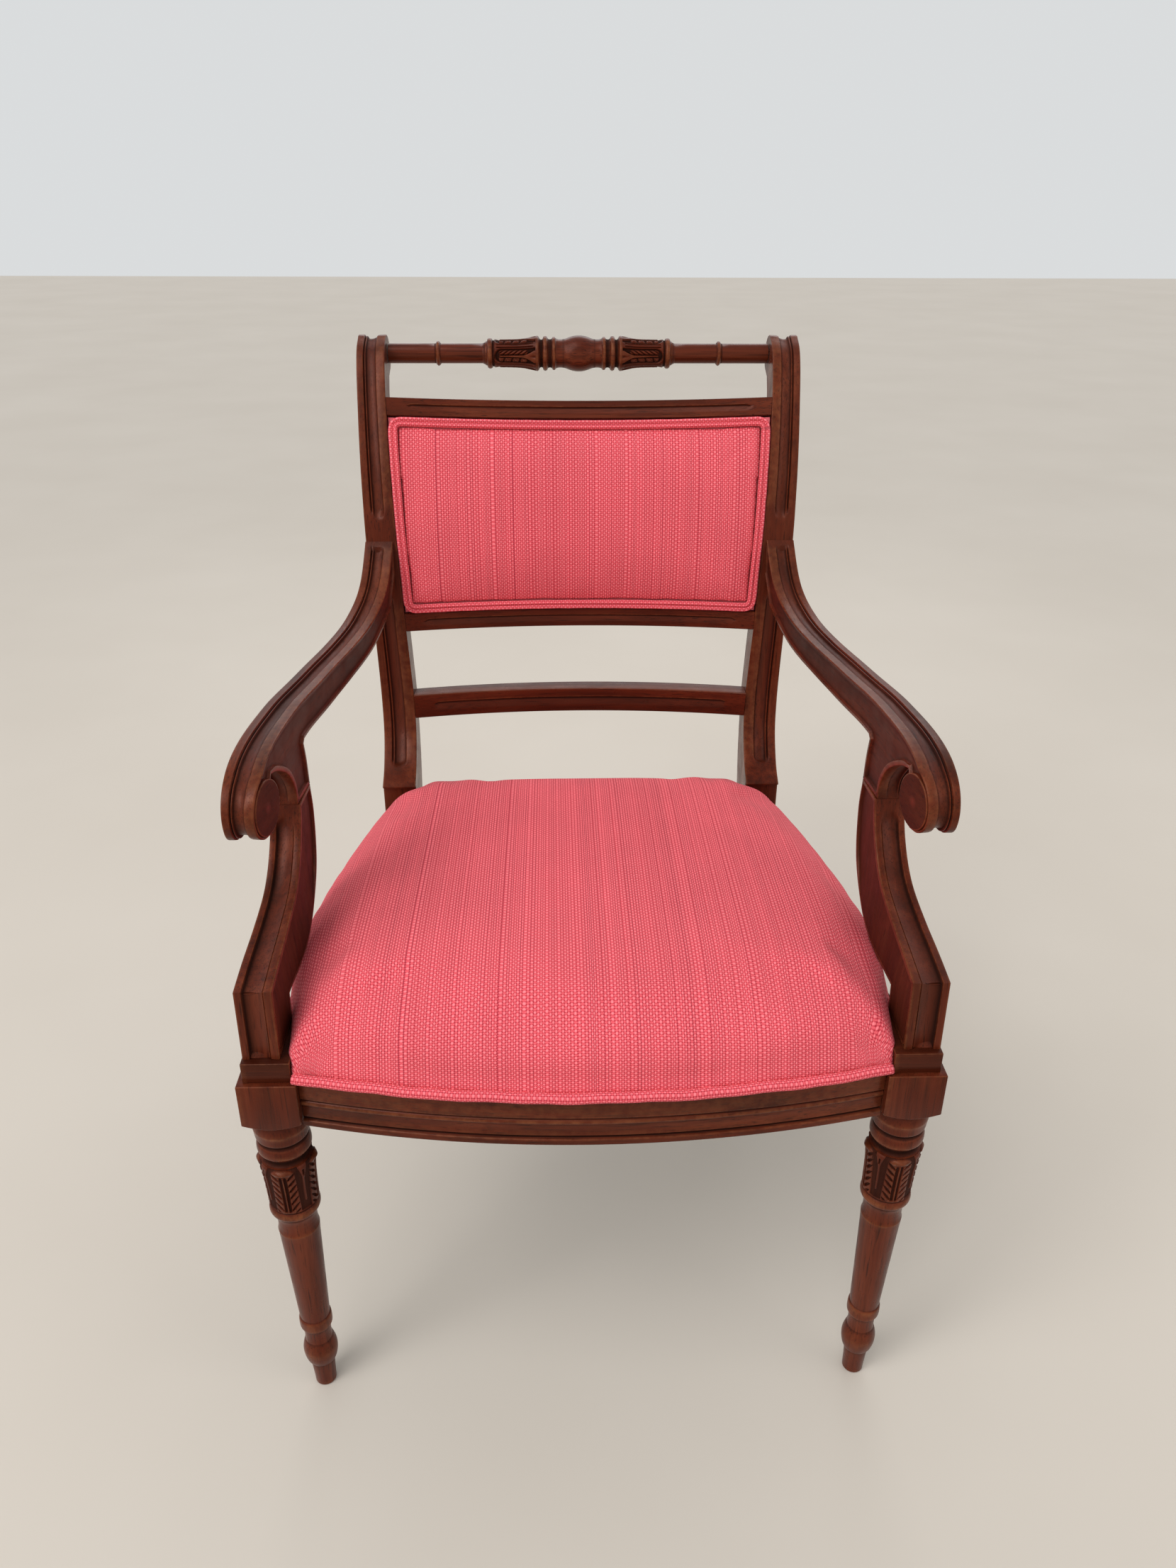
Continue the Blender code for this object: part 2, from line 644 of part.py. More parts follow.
# ---- front legs ---------------------------------------------------------------------
def front_leg(side_name, side):
    """Turned leg, square block and plinth in one piece."""
    name = f"front_leg_{side_name}"
    turning = as_mesh(turned(f"{name}_turning", LEG_PROFILE, "mahogany", helper=True))
    lean = (LEG_X - LEG_FOOT_X) / BLOCK_BOTTOM
    shear = Matrix.Identity(4)
    shear[0][2] = side * lean
    turning.data.transform(shear)
    turning.location = at(side * LEG_FOOT_X, 0.0, 0.0)
    piece = leg_block(name, side)
    plinth_size = (PLINTH_OUTER - PLINTH_INNER, PLINTH_BACK - PLINTH_FRONT, PLINTH_TOP - BLOCK_TOP + 0.004)
    plinth_x = side * (PLINTH_INNER + PLINTH_OUTER) / 2
    plinth_at = at(plinth_x, (PLINTH_BACK + PLINTH_FRONT) / 2, PLINTH_TOP - plinth_size[2] / 2)
    plinth = box(f"{name}_plinth", plinth_size, plinth_at, helper=True)
    ledge_at = at(side * LEG_X, BLOCK_BACK + 0.025 + 0.00005, BLOCK_TOP - 0.005)
    ledge = box(f"{name}_ledge", (0.1, 0.05, 0.01), ledge_at, helper=True)
    join(piece, [turning, plinth])
    cut(piece, [ledge] + leg_mortises(side_name, side) + [dowel_hole("foot_dowel", f"{side_name}_leg", side)])
    return piece


def leg_block(name, side):
    """Square block whose lower corners were turned off with the leg."""
    half_x = (BLOCK_OUTER - BLOCK_INNER) / 2
    half_y = (BLOCK_BACK - BLOCK_FRONT) / 2
    middle = (side * (BLOCK_INNER + half_x), BLOCK_FRONT + half_y)
    rings = []
    levels = [(1.0, BLOCK_TOP, 0.0), (1.0, BLOCK_BOTTOM, 0.0050), (0.6, BLOCK_BOTTOM, 0.0)]
    for reach, level, corner_lift in levels:
        ring = []
        for across, along in ((1, 0), (1, 1), (0, 1), (-1, 1), (-1, 0), (-1, -1), (0, -1), (1, -1)):
            z = level + corner_lift * abs(across * along)
            ring.append(at(middle[0] + across * half_x * reach, middle[1] + along * half_y * reach, z))
        rings.append(ring)
    return loft(name, rings, "mahogany")


def front_rail_tenon(side):
    size = (TENON + 0.004, 0.010, 0.030)
    x = side * (BLOCK_INNER + TENON / 2 - 0.002)
    return size, at(x, FRONT_END + RAIL_THICK / 2 - 0.003, (BLOCK_BOTTOM + RAIL_TOP) / 2)


def side_rail_tenon(side, end):
    """The tenon of a side rail at its front end or at its rear one."""
    inside = 1 if end > 0.2 else -1
    size = (0.010, TENON + 0.006, 0.030)
    x = between(SIDE_RAIL_OUTER, end) - RAIL_THICK / 2
    return size, at(side * x, end + inside * (TENON / 2 - 0.003), (BLOCK_BOTTOM + RAIL_TOP) / 2)


def leg_mortises(side_name, side):
    wide = 2 * GAP
    made = []
    tenons = {"front": front_rail_tenon(side), "side": side_rail_tenon(side, BLOCK_BACK)}
    for name, (size, centre) in tenons.items():
        grown = (size[0] + wide, size[1] + wide, size[2] + wide)
        made.append(box(f"leg_{name}_socket_{side_name}", grown, centre, helper=True))
    return made


# ---- seat rails ---------------------------------------------------------------------
def front_seat_rail():
    """Bowed rail, moulded along its face."""
    face = [
        (0.0, RAIL_TOP), (0.0, 0.3640), (0.0025, 0.3628), (0.0005, 0.3595), (0.0025, 0.3560),
        (0.0025, 0.3450), (0.005, 0.3430), (0.001, 0.3415), (0.001, RAIL_BOTTOM),
        (RAIL_THICK, RAIL_BOTTOM), (RAIL_THICK, RAIL_TOP),
    ]
    end = BLOCK_INNER - GAP
    rings = [[at(share * end, front_face(share * end) + back, z) for back, z in face] for share in spread(14)]
    piece = loft("front_seat_rail", rings, "mahogany")
    tenons = []
    for side_name, side in SIDES.items():
        tenons.append(box(f"front_rail_tenon_{side_name}", *front_rail_tenon(side), helper=True))
    join(piece, tenons)
    cut(piece, rail_screw_holes("front_rail", "front"))


def side_seat_rail(side_name, side):
    ends = (BLOCK_BACK + GAP, stile_front(0.4225) + 0.005 - GAP)
    rings = []
    for y in ends:
        outer = between(SIDE_RAIL_OUTER, y)
        inner = outer - RAIL_THICK
        corners = ((outer, RAIL_BOTTOM), (outer, RAIL_TOP), (inner, RAIL_TOP), (inner, RAIL_BOTTOM))
        rings.append([at(side * x, y, z) for x, z in corners])
    piece = loft(f"side_seat_rail_{side_name}", rings, "mahogany")
    tenons = []
    for end in (BLOCK_BACK, 0.424):
        size, centre = side_rail_tenon(side, end)
        tenons.append(box(f"side_rail_tenon_{side_name}_{end > 0.2}", size, centre, helper=True))
    join(piece, tenons)
    cut(piece, rail_screw_holes(f"side_rail_{side_name}", "side", side))


def rear_seat_rail():
    half = stile_inner(RAIL_BOTTOM) - GAP
    size = (2 * half, RAIL_THICK, RAIL_TOP - RAIL_BOTTOM)
    centre = at(0.0, REAR_RAIL_Y + RAIL_THICK / 2, (RAIL_TOP + RAIL_BOTTOM) / 2)
    piece = box("rear_seat_rail", size, centre, "mahogany")
    join(piece, rail_tenons("rear_seat_rail"))
    cut(piece, rail_screw_holes("rear_rail", "rear"))


# ---- corner blocks ------------------------------------------------------------------
BLOCK_LOW = 0.343
BLOCK_HIGH = 0.377


def corner_screws(side):
    """Screws through the corner blocks of one side: name, rail entered, head and direction."""
    z = (BLOCK_LOW + BLOCK_HIGH) / 2
    front_y = front_face(0.195) + RAIL_THICK + 0.012
    front_x = side_rail_inner(0.050) - 0.012
    rear_x = side_rail_inner(0.390) - 0.010
    return [
        ("front_1", "front", at(side * 0.195, front_y, z - 0.005), (0, -1, 0)),
        ("front_2", "side", at(side * front_x, 0.050, z + 0.005), (side, 0, 0)),
        ("rear_1", "rear", at(side * 0.160, REAR_RAIL_Y - 0.012, z - 0.005), (0, 1, 0)),
        ("rear_2", "side", at(side * rear_x, 0.390, z + 0.005), (side, 0, 0)),
    ]


def rail_screw_holes(label, rail, only=None):
    """Holes in a rail for the screws that enter it."""
    made = []
    for side_name, side in SIDES.items():
        if only not in (None, side):
            continue
        for name, entered, head, axis in corner_screws(side):
            if entered == rail:
                made.append(screw_hole(f"{label}_{name}_{side_name}", head, axis, 0.025)[0])
    return made


def corner_block(place, side_name, side, plan):
    outline = [(side * x, y) for x, y in plan]
    piece = plate(f"corner_block_{place}_{side_name}", outline, BLOCK_LOW, BLOCK_HIGH, "inner_wood")
    for name, _, head, axis in corner_screws(side):
        if name.startswith(place):
            cut(piece, screw_hole(f"block_{name}_{side_name}", head, axis, 0.025))
            wood_screw(f"block_screw_{name}_{side_name}", head, axis, 0.025)


def corner_blocks(side_name, side):
    def behind_front(x):
        return front_face(x) + RAIL_THICK + GAP

    near_leg = BLOCK_INNER - 2 * GAP
    front = [
        (near_leg, behind_front(near_leg)), (near_leg, BLOCK_BACK + 2 * GAP),
        (side_rail_inner(BLOCK_BACK) - 0.001, BLOCK_BACK + 2 * GAP),
        (side_rail_inner(0.078) - GAP, 0.078), (0.160, behind_front(0.160)), (0.200, behind_front(0.200)),
    ]
    near_stile = stile_inner(BLOCK_LOW) - 0.001
    rear_y = REAR_RAIL_Y - GAP
    rear = [
        (near_stile, rear_y), (near_stile, 0.4205), (side_rail_inner(0.4205) - GAP, 0.4205),
        (side_rail_inner(0.365) - GAP, 0.365), (0.125, rear_y),
    ]
    corner_block("front", side_name, side, front)
    corner_block("rear", side_name, side, rear)


# ---- seat ---------------------------------------------------------------------------
def seat_plan():
    """Half of the seat's outline, from the middle of the front round to the middle of the rear."""
    front = [(x, front_face(x) + 0.0048) for x in (0.0, 0.06, 0.12, 0.18, 0.225)]
    notch = [(0.2385, front_face(0.2385) + 0.006), (0.2385, 0.0395), (0.2640, 0.0425)]
    flank = [(between(SIDE_RAIL_OUTER, y) - 0.004, y) for y in (0.12, 0.22, 0.32)]
    rear = [(0.2145, 0.404), (0.1810, 0.412), (0.1800, 0.444), (0.10, 0.4495)]
    return front + notch + flank + rear


def seat_ring(inset, height, grow=0.0):
    """The seat's outline at a height, shrunk towards the middle and then grown evenly."""
    half = seat_plan()
    whole = half + [(-x, y) for x, y in reversed(half[1:])]
    points = []
    for x, y in whole:
        share = 1 - inset / 0.25
        points.append(Vector((x * share, SEAT_CENTRE[1] + (y - SEAT_CENTRE[1]) * share)))
    normals = inward(points)
    return [at(p.x - n.x * grow, p.y - n.y * grow, height) for p, n in zip(points, normals)]


def seat_foam():
    rings = [seat_ring(inset, height) for inset, height in SEAT_RINGS]
    smooth_shade(loft("seat_foam", rings, "foam"), 60)


def seat_cover():
    """Fabric over the foam, open underneath."""
    rings = [seat_ring(inset, height + (GAP if inset else 0.0), GAP) for inset, height in SEAT_RINGS]
    top = [Vector((p.x, p.y, p.z + GAP)) for p in rings[-1]]
    rings[-1] = top
    piece = loft("seat_cover", rings, "cover_fabric", ends=False)
    bm = bmesh.new()
    bm.from_mesh(piece.data)
    rim = [v for v in bm.verts if v.co.z > SEAT_RINGS[-1][1]]
    edges = [e for e in bm.edges if e.is_boundary and all(v in rim for v in e.verts)]
    bmesh.ops.contextual_create(bm, geom=edges)
    bmesh.ops.recalc_face_normals(bm, faces=bm.faces)
    bm.to_mesh(piece.data)
    bm.free()
    shell = piece.modifiers.new("cloth", "SOLIDIFY")
    shell.thickness = WEB
    shell.offset = 1.0
    shell.use_even_offset = True
    smooth_shade(piece, 60)


def tube_along(name, points, radius, material, cyclic=False):
    """A round cord through these points."""
    curve = bpy.data.curves.new(name, "CURVE")
    curve.dimensions = "3D"
    spline = curve.splines.new("POLY")
    spline.points.add(len(points) - 1)
    for target, point in zip(spline.points, points):
        target.co = (*point, 1.0)
    spline.use_cyclic_u = cyclic
    curve.bevel_depth = radius
    curve.bevel_resolution = 2
    curve.use_fill_caps = not cyclic
    obj = bpy.data.objects.new(name, curve)
    collection.objects.link(obj)
    curve.materials.append(finish(material))
    return obj


def seat_welt():
    """Cord along the foot of the seat's front edge, from plinth to plinth."""
    end = PLINTH_INNER - 0.001
    level = RAIL_TOP + WELT_R + 0.001
    points = [at(share * end, front_face(share * end) - 0.002, level) for share in spread(24)]
    tube_along("seat_welt", points, WELT_R, "cover_fabric")


def webbing():
    low = RAIL_TOP + GAP + WEB / 2
    high = low + WEB + GAP
    for number, y in enumerate(STRAPS_ACROSS, 1):
        length = 2 * (between(SIDE_RAIL_OUTER, y + STRAP_WIDTH / 2) - 0.007)
        box(f"webbing_across_{number}", (length, STRAP_WIDTH, WEB), at(0.0, y, low), "webbing")
    for number, x in enumerate(STRAPS_ALONG, 1):
        start = front_face(abs(x) + STRAP_WIDTH / 2) + 0.008
        end = REAR_RAIL_Y + RAIL_THICK - 0.008
        middle = at(x, (start + end) / 2, high)
        box(f"webbing_along_{number}", (STRAP_WIDTH, end - start, WEB), middle, "webbing")


def dust_cover():
    """Black cloth across the underside of the rails."""
    half = [(0.0, -0.042), (0.12, -0.034), (0.225, -0.014), (0.230, 0.034), (0.262, 0.040), (0.2145, 0.412),
            (0.181, 0.414), (0.181, 0.448)]
    whole = half + [(-x, y) for x, y in reversed(half[1:])]
    high = RAIL_BOTTOM - GAP
    plate("dust_cover", whole, high - DUST_THICK, high, "black_cloth")


# ---- back panel ---------------------------------------------------------------------
def back_point(across, height, back):
    """A point of the curved back: its share of the half width, height on the stiles and depth."""
    rake = stile_rake(height)
    back = back + BACK_BOW * (1 - across**2)
    x = across * stile_inner(height)
    return at(x, stile_front(height) + back * cos(rake), height - back * sin(rake))


def back_slab(name, border, front, rear, material, crown=0.0, lap=0.0, columns=10, rows=6):
    """A panel between two depths of the back, its front crowned forward by crown.

    It stops short of the stiles by border, and of the rails' faces by border less lap.
    """
    bottom = PAD_BOTTOM + border - lap
    top = PAD_TOP - border + lap
    loops = []
    for depth in (rear, front):
        grid = []
        for j in range(rows + 1):
            height = bottom + (top - bottom) * j / rows
            edge = 1 - (border + 2 * GAP) / stile_inner(height)
            line = []
            for share in spread(columns):
                swell = 0.0
                if depth == front:
                    swell = crown * (1 - share**4) * (1 - (2 * j / rows - 1) ** 4)
                line.append(back_point(share * edge, height, depth - swell))
            grid.append(line)
        loops.append(grid)
    mesh = bpy.data.meshes.new(name)
    bm = bmesh.new()
    sheets = [[[bm.verts.new(p) for p in line] for line in grid] for grid in loops]
    for sheet in sheets:
        for j in range(rows):
            for i in range(columns):
                bm.faces.new((sheet[j][i], sheet[j][i + 1], sheet[j + 1][i + 1], sheet[j + 1][i]))
    rims = [rim_of(sheet) for sheet in sheets]
    for i in range(len(rims[0])):
        j = (i + 1) % len(rims[0])
        bm.faces.new((rims[0][i], rims[0][j], rims[1][j], rims[1][i]))
    bmesh.ops.recalc_face_normals(bm, faces=bm.faces)
    bm.to_mesh(mesh)
    bm.free()
    return object_of(name, mesh, material)


def rim_of(sheet):
    """The outer points of a grid, in order round it."""
    right = [line[-1] for line in sheet[1:]]
    left = [line[0] for line in sheet[1:-1]]
    return sheet[0] + right + sheet[-1][-2::-1] + left[::-1]


def back_welt():
    """Double welt round the panel: one flat ring of two joined cords."""
    width = 0.0062
    thick = 0.0036
    corner = 0.010
    low = PAD_BOTTOM + width + GAP
    high = PAD_TOP - width - GAP
    path = []
    for x_side, z_side, start in ((1, 1, 0), (-1, 1, 90), (-1, -1, 180), (1, -1, 270)):
        for a in range(0, 91, 30):
            angle = radians(start + a)
            z = (high if z_side > 0 else low) - z_side * corner + corner * sin(angle)
            x = x_side * (stile_inner(z) - width - 2 * GAP - corner) + corner * cos(angle)
            path.append((x, z, angle))
    rings = []
    for index, (x, z, angle) in enumerate(path):
        following = path[(index + 1) % len(path)]
        straight = hypot(following[0] - x, following[1] - z) > 2 * corner
        steps = 7 if straight and abs(following[0] - x) > abs(following[1] - z) else (4 if straight else 1)
        for step in range(steps):
            share = step / steps
            px = x + (following[0] - x) * share
            pz = z + (following[1] - z) * share
            rings.append(welt_section(px, pz, angle, width, thick))
    loft_ring("back_welt", rings, "cover_fabric")


def welt_section(x, z, angle, width, thick):
    """The flat oval section of the double welt, across its run."""
    ring = []
    for i in range(8):
        turn = 2 * pi * i / 8
        side = width * cos(turn)
        px = x + side * cos(angle)
        pz = z + side * sin(angle)
        ring.append(back_point(px / stile_inner(pz), pz, -0.0005 + thick * sin(turn)))
    return ring


def loft_ring(name, rings, material):
    """A closed loop of equal sections."""
    mesh = bpy.data.meshes.new(name)
    bm = bmesh.new()
    rows = [[bm.verts.new(p) for p in ring] for ring in rings]
    count = len(rows[0])
    for index, low in enumerate(rows):
        high = rows[(index + 1) % len(rows)]
        for i in range(count):
            j = (i + 1) % count
            bm.faces.new((low[i], low[j], high[j], high[i]))
    bmesh.ops.recalc_face_normals(bm, faces=bm.faces)
    bm.to_mesh(mesh)
    bm.free()
    smooth_shade(object_of(name, mesh, material), 60)


def back_upholstery():
    back_slab("back_panel", 0.0004, 0.0050, 0.0088, "inner_wood")
    back_slab("back_foam", PAD_BORDER + 0.0020, -0.0010, 0.0040, "foam", crown=0.009)
    back_slab("outside_back", 0.0004, 0.0240, 0.0250, "cover_fabric", lap=0.012)
    back_cover()
    back_welt()


def back_cover():
    """Fabric over the back foam: a thin crowned shell, open behind."""
    border = PAD_BORDER + 0.0020
    cover = back_slab("back_cover", border - 0.0018, -0.0028, 0.0040, "cover_fabric", crown=0.009)
    hollow = back_slab("back_cover_hollow", border - 0.0004, -0.0014, 0.0080, "cover_fabric", crown=0.009)
    collection.objects.unlink(hollow)
    cutters.objects.link(hollow)
    hollow.hide_render = True
    hollow.display_type = "WIRE"
    cut(cover, [hollow])


def main():
    clear_scene()
    make_collections()
    for side_name, side in SIDES.items():
        stile(side_name, side)
        arm(side_name, side)
        arm_support(side_name, side)
        make_dowels(side_name, side)
        arm_fixings(side_name, side)
        front_leg(side_name, side)
        side_seat_rail(side_name, side)
        corner_blocks(side_name, side)
    for name, height, rake, section, _ in back_rails():
        back_rail(name, height, rake, section)
    crest_rail()
    front_seat_rail()
    rear_seat_rail()
    webbing()
    seat_foam()
    seat_cover()
    seat_welt()
    dust_cover()
    back_upholstery()


main()
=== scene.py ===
"""Open armchair: the fine surfaces, materials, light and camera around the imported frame.

Metres, +Z up. Side outlines give (distance behind the front feet, height); left is +X.
"""
from math import cos, pi, radians, sin, sqrt

import bmesh
import bpy
import numpy as np
from mathutils import Matrix, Vector
from mathutils.geometry import delaunay_2d_cdt


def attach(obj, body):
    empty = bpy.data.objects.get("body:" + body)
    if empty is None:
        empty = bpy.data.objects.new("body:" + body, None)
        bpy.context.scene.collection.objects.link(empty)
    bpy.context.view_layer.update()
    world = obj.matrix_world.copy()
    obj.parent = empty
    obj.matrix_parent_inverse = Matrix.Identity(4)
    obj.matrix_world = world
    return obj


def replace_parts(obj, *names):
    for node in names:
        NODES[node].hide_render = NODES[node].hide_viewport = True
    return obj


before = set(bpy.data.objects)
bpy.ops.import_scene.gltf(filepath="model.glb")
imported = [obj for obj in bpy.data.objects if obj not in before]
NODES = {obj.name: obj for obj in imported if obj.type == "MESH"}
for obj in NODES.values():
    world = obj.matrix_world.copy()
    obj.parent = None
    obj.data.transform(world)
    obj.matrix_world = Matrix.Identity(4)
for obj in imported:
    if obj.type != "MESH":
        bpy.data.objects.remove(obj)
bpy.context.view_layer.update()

FOOT_Y = -0.2681
SIDES = {"left": 1, "right": -1}
STEP = 0.0022   # spacing of the points along an outline


# ---- camera, light and floor --------------------------------------------------------
def look():
    """The camera at the viewing angle: 27 degrees down, a metre above the floor."""
    focal = 1662.0
    centre = np.array((829.5, 1106.0))
    down = np.array([*((np.array((814.0, 4343.0)) - centre) / focal), 1.0])
    up = -down / np.linalg.norm(down)
    ahead = np.array((0, 0, 1.0))
    ahead = ahead - ahead.dot(up) * up
    ahead /= np.linalg.norm(ahead)
    right = np.cross(ahead, up)
    right *= np.sign(right[0])
    turn = radians(1.76)
    axes = np.stack([cos(turn) * right + sin(turn) * ahead, cos(turn) * ahead - sin(turn) * right, up])
    columns = [axes @ np.array(v) for v in ((1.0, 0, 0), (0, -1.0, 0), (0, 0, -1.0))]
    camera = bpy.data.cameras.new("camera")
    camera.sensor_width = 36
    camera.lens = focal * 36 / 2212
    obj = bpy.data.objects.new("camera", camera)
    bpy.context.scene.collection.objects.link(obj)
    turned = Matrix([[c[i] for c in columns] for i in range(3)]).to_4x4()
    obj.matrix_world = Matrix.Translation((-0.0287, -0.7552 + FOOT_Y, 1.026)) @ turned
    bpy.context.scene.camera = obj


def light(name, kind, power, place, aim, size, colour=(1, 1, 1)):
    lamp = bpy.data.lights.new(name, kind)
    lamp.energy = power
    lamp.color = colour
    if kind == "SUN":
        lamp.angle = radians(size)
    else:
        lamp.shape = "RECTANGLE"
        lamp.size, lamp.size_y = size
    obj = bpy.data.objects.new(name, lamp)
    bpy.context.scene.collection.objects.link(obj)
    obj.location = place
    obj.rotation_euler = (Vector(aim) - Vector(place)).to_track_quat("-Z", "Y").to_euler()


def studio():
    bpy.context.scene.view_settings.view_transform = "Standard"
    world = bpy.data.worlds.new("studio")
    bpy.context.scene.world = world
    world.use_nodes = True
    sky = world.node_tree.nodes["Background"]
    sky.inputs[0].default_value = (0.90, 0.92, 0.93, 1)
    sky.inputs[1].default_value = 0.78
    light("daylight", "SUN", 1.05, (-1.0, -1.1, 2.6), (0, 0, 0.4), 40)
    light("window", "AREA", 15, (-1.5, -1.3, 1.9), (0, 0, 0.5), (0.8, 1.4), (0.97, 0.98, 1.0))
    light("fill", "AREA", 4, (1.8, -1.0, 1.5), (0, 0, 0.5), (1.2, 1.2), (1.0, 0.98, 0.95))
    light("behind", "AREA", 7, (0.2, 1.9, 1.9), (0, 0.2, 0.6), (1.6, 0.8))
    mesh = bpy.data.meshes.new("floor")
    bm = bmesh.new()
    bmesh.ops.create_grid(bm, x_segments=1, y_segments=1, size=14)
    bm.to_mesh(mesh)
    bm.free()
    floor = bpy.data.objects.new("floor", mesh)
    bpy.context.scene.collection.objects.link(floor)
    mesh.materials.append(floor_material())


# ---- material tools -----------------------------------------------------------------
class Nodes:
    """A short way to write a material's node tree."""

    def __init__(self, name):
        self.material = bpy.data.materials.new(name)
        self.material.use_nodes = True
        self.tree = self.material.node_tree
        self.shader = self.tree.nodes["Principled BSDF"]

    def link(self, value, socket):
        if isinstance(value, bpy.types.NodeSocket):
            self.tree.links.new(value, socket)
        elif value is not None:
            socket.default_value = value

    def add(self, kind, *inputs, out=0, **settings):
        node = self.tree.nodes.new(f"ShaderNode{kind}")
        for key, value in settings.items():
            setattr(node, key, value)
        for i, value in enumerate(inputs):
            self.link(value, node.inputs[i])
        return node.outputs[out]

    def math(self, operation, a, b=None, c=None, clamp=False):
        return self.add("Math", a, b, c, operation=operation, use_clamp=clamp)

    def attribute(self, name, out="Fac"):
        node = self.tree.nodes.new("ShaderNodeAttribute")
        node.attribute_name = name
        return node.outputs[out]

    def place(self, scale=(1, 1, 1), source=None, turn=(0, 0, 0), shift=(0, 0, 0)):
        source = source or self.add("TexCoord", out=3)
        return self.add("Mapping", source, shift, turn, scale)

    def noise(self, where, scale, detail=4.0, rough=0.55, dimensions="3D"):
        node = self.tree.nodes.new("ShaderNodeTexNoise")
        node.noise_dimensions = dimensions
        self.link(where, node.inputs["W" if dimensions == "1D" else "Vector"])
        node.inputs["Scale"].default_value = scale
        node.inputs["Detail"].default_value = detail
        node.inputs["Roughness"].default_value = rough
        return node.outputs[0]

    def white(self, value):
        """A random number for each whole value."""
        node = self.tree.nodes.new("ShaderNodeTexWhiteNoise")
        node.noise_dimensions = "1D"
        self.link(value, node.inputs["W"])
        return node.outputs[0]

    def ramp(self, value, *stops):
        node = self.tree.nodes.new("ShaderNodeValToRGB")
        elements = node.color_ramp.elements
        while len(elements) < len(stops):
            elements.new(0.5)
        for element, (at, colour) in zip(elements, stops):
            element.position = at
            element.color = (*colour, 1) if hasattr(colour, "__len__") else (colour, colour, colour, 1)
        self.link(value, node.inputs[0])
        return node.outputs[0]

    def mix(self, factor, a, b, how="MIX"):
        node = self.tree.nodes.new("ShaderNodeMix")
        node.data_type = "RGBA"
        node.blend_type = how
        self.link(factor, node.inputs[0])
        for value, socket in ((a, node.inputs[6]), (b, node.inputs[7])):
            self.link((*value, 1) if isinstance(value, tuple) and len(value) == 3 else value, socket)
        return node.outputs[2]

    def bump(self, height, distance, strength=1.0, normal=None):
        node = self.tree.nodes.new("ShaderNodeBump")
        node.inputs["Strength"].default_value = strength
        node.inputs["Distance"].default_value = distance
        self.link(height, node.inputs["Height"])
        self.link(normal, node.inputs["Normal"])
        return node.outputs[0]

    def surface(self, colour=None, roughness=None, normal=None, **plain):
        self.link(colour, self.shader.inputs["Base Color"])
        self.link(roughness, self.shader.inputs["Roughness"])
        self.link(normal, self.shader.inputs["Normal"])
        for key, value in plain.items():
            self.shader.inputs[key.replace("_", " ")].default_value = value
        return self.material


def floor_material():
    m = Nodes("pale_floor")
    tone = m.ramp(m.noise(m.place((1, 1, 1)), 1.6, 3), (0.3, (0.57, 0.51, 0.44)), (0.7, (0.60, 0.54, 0.47)))
    return m.surface(tone, 0.6)


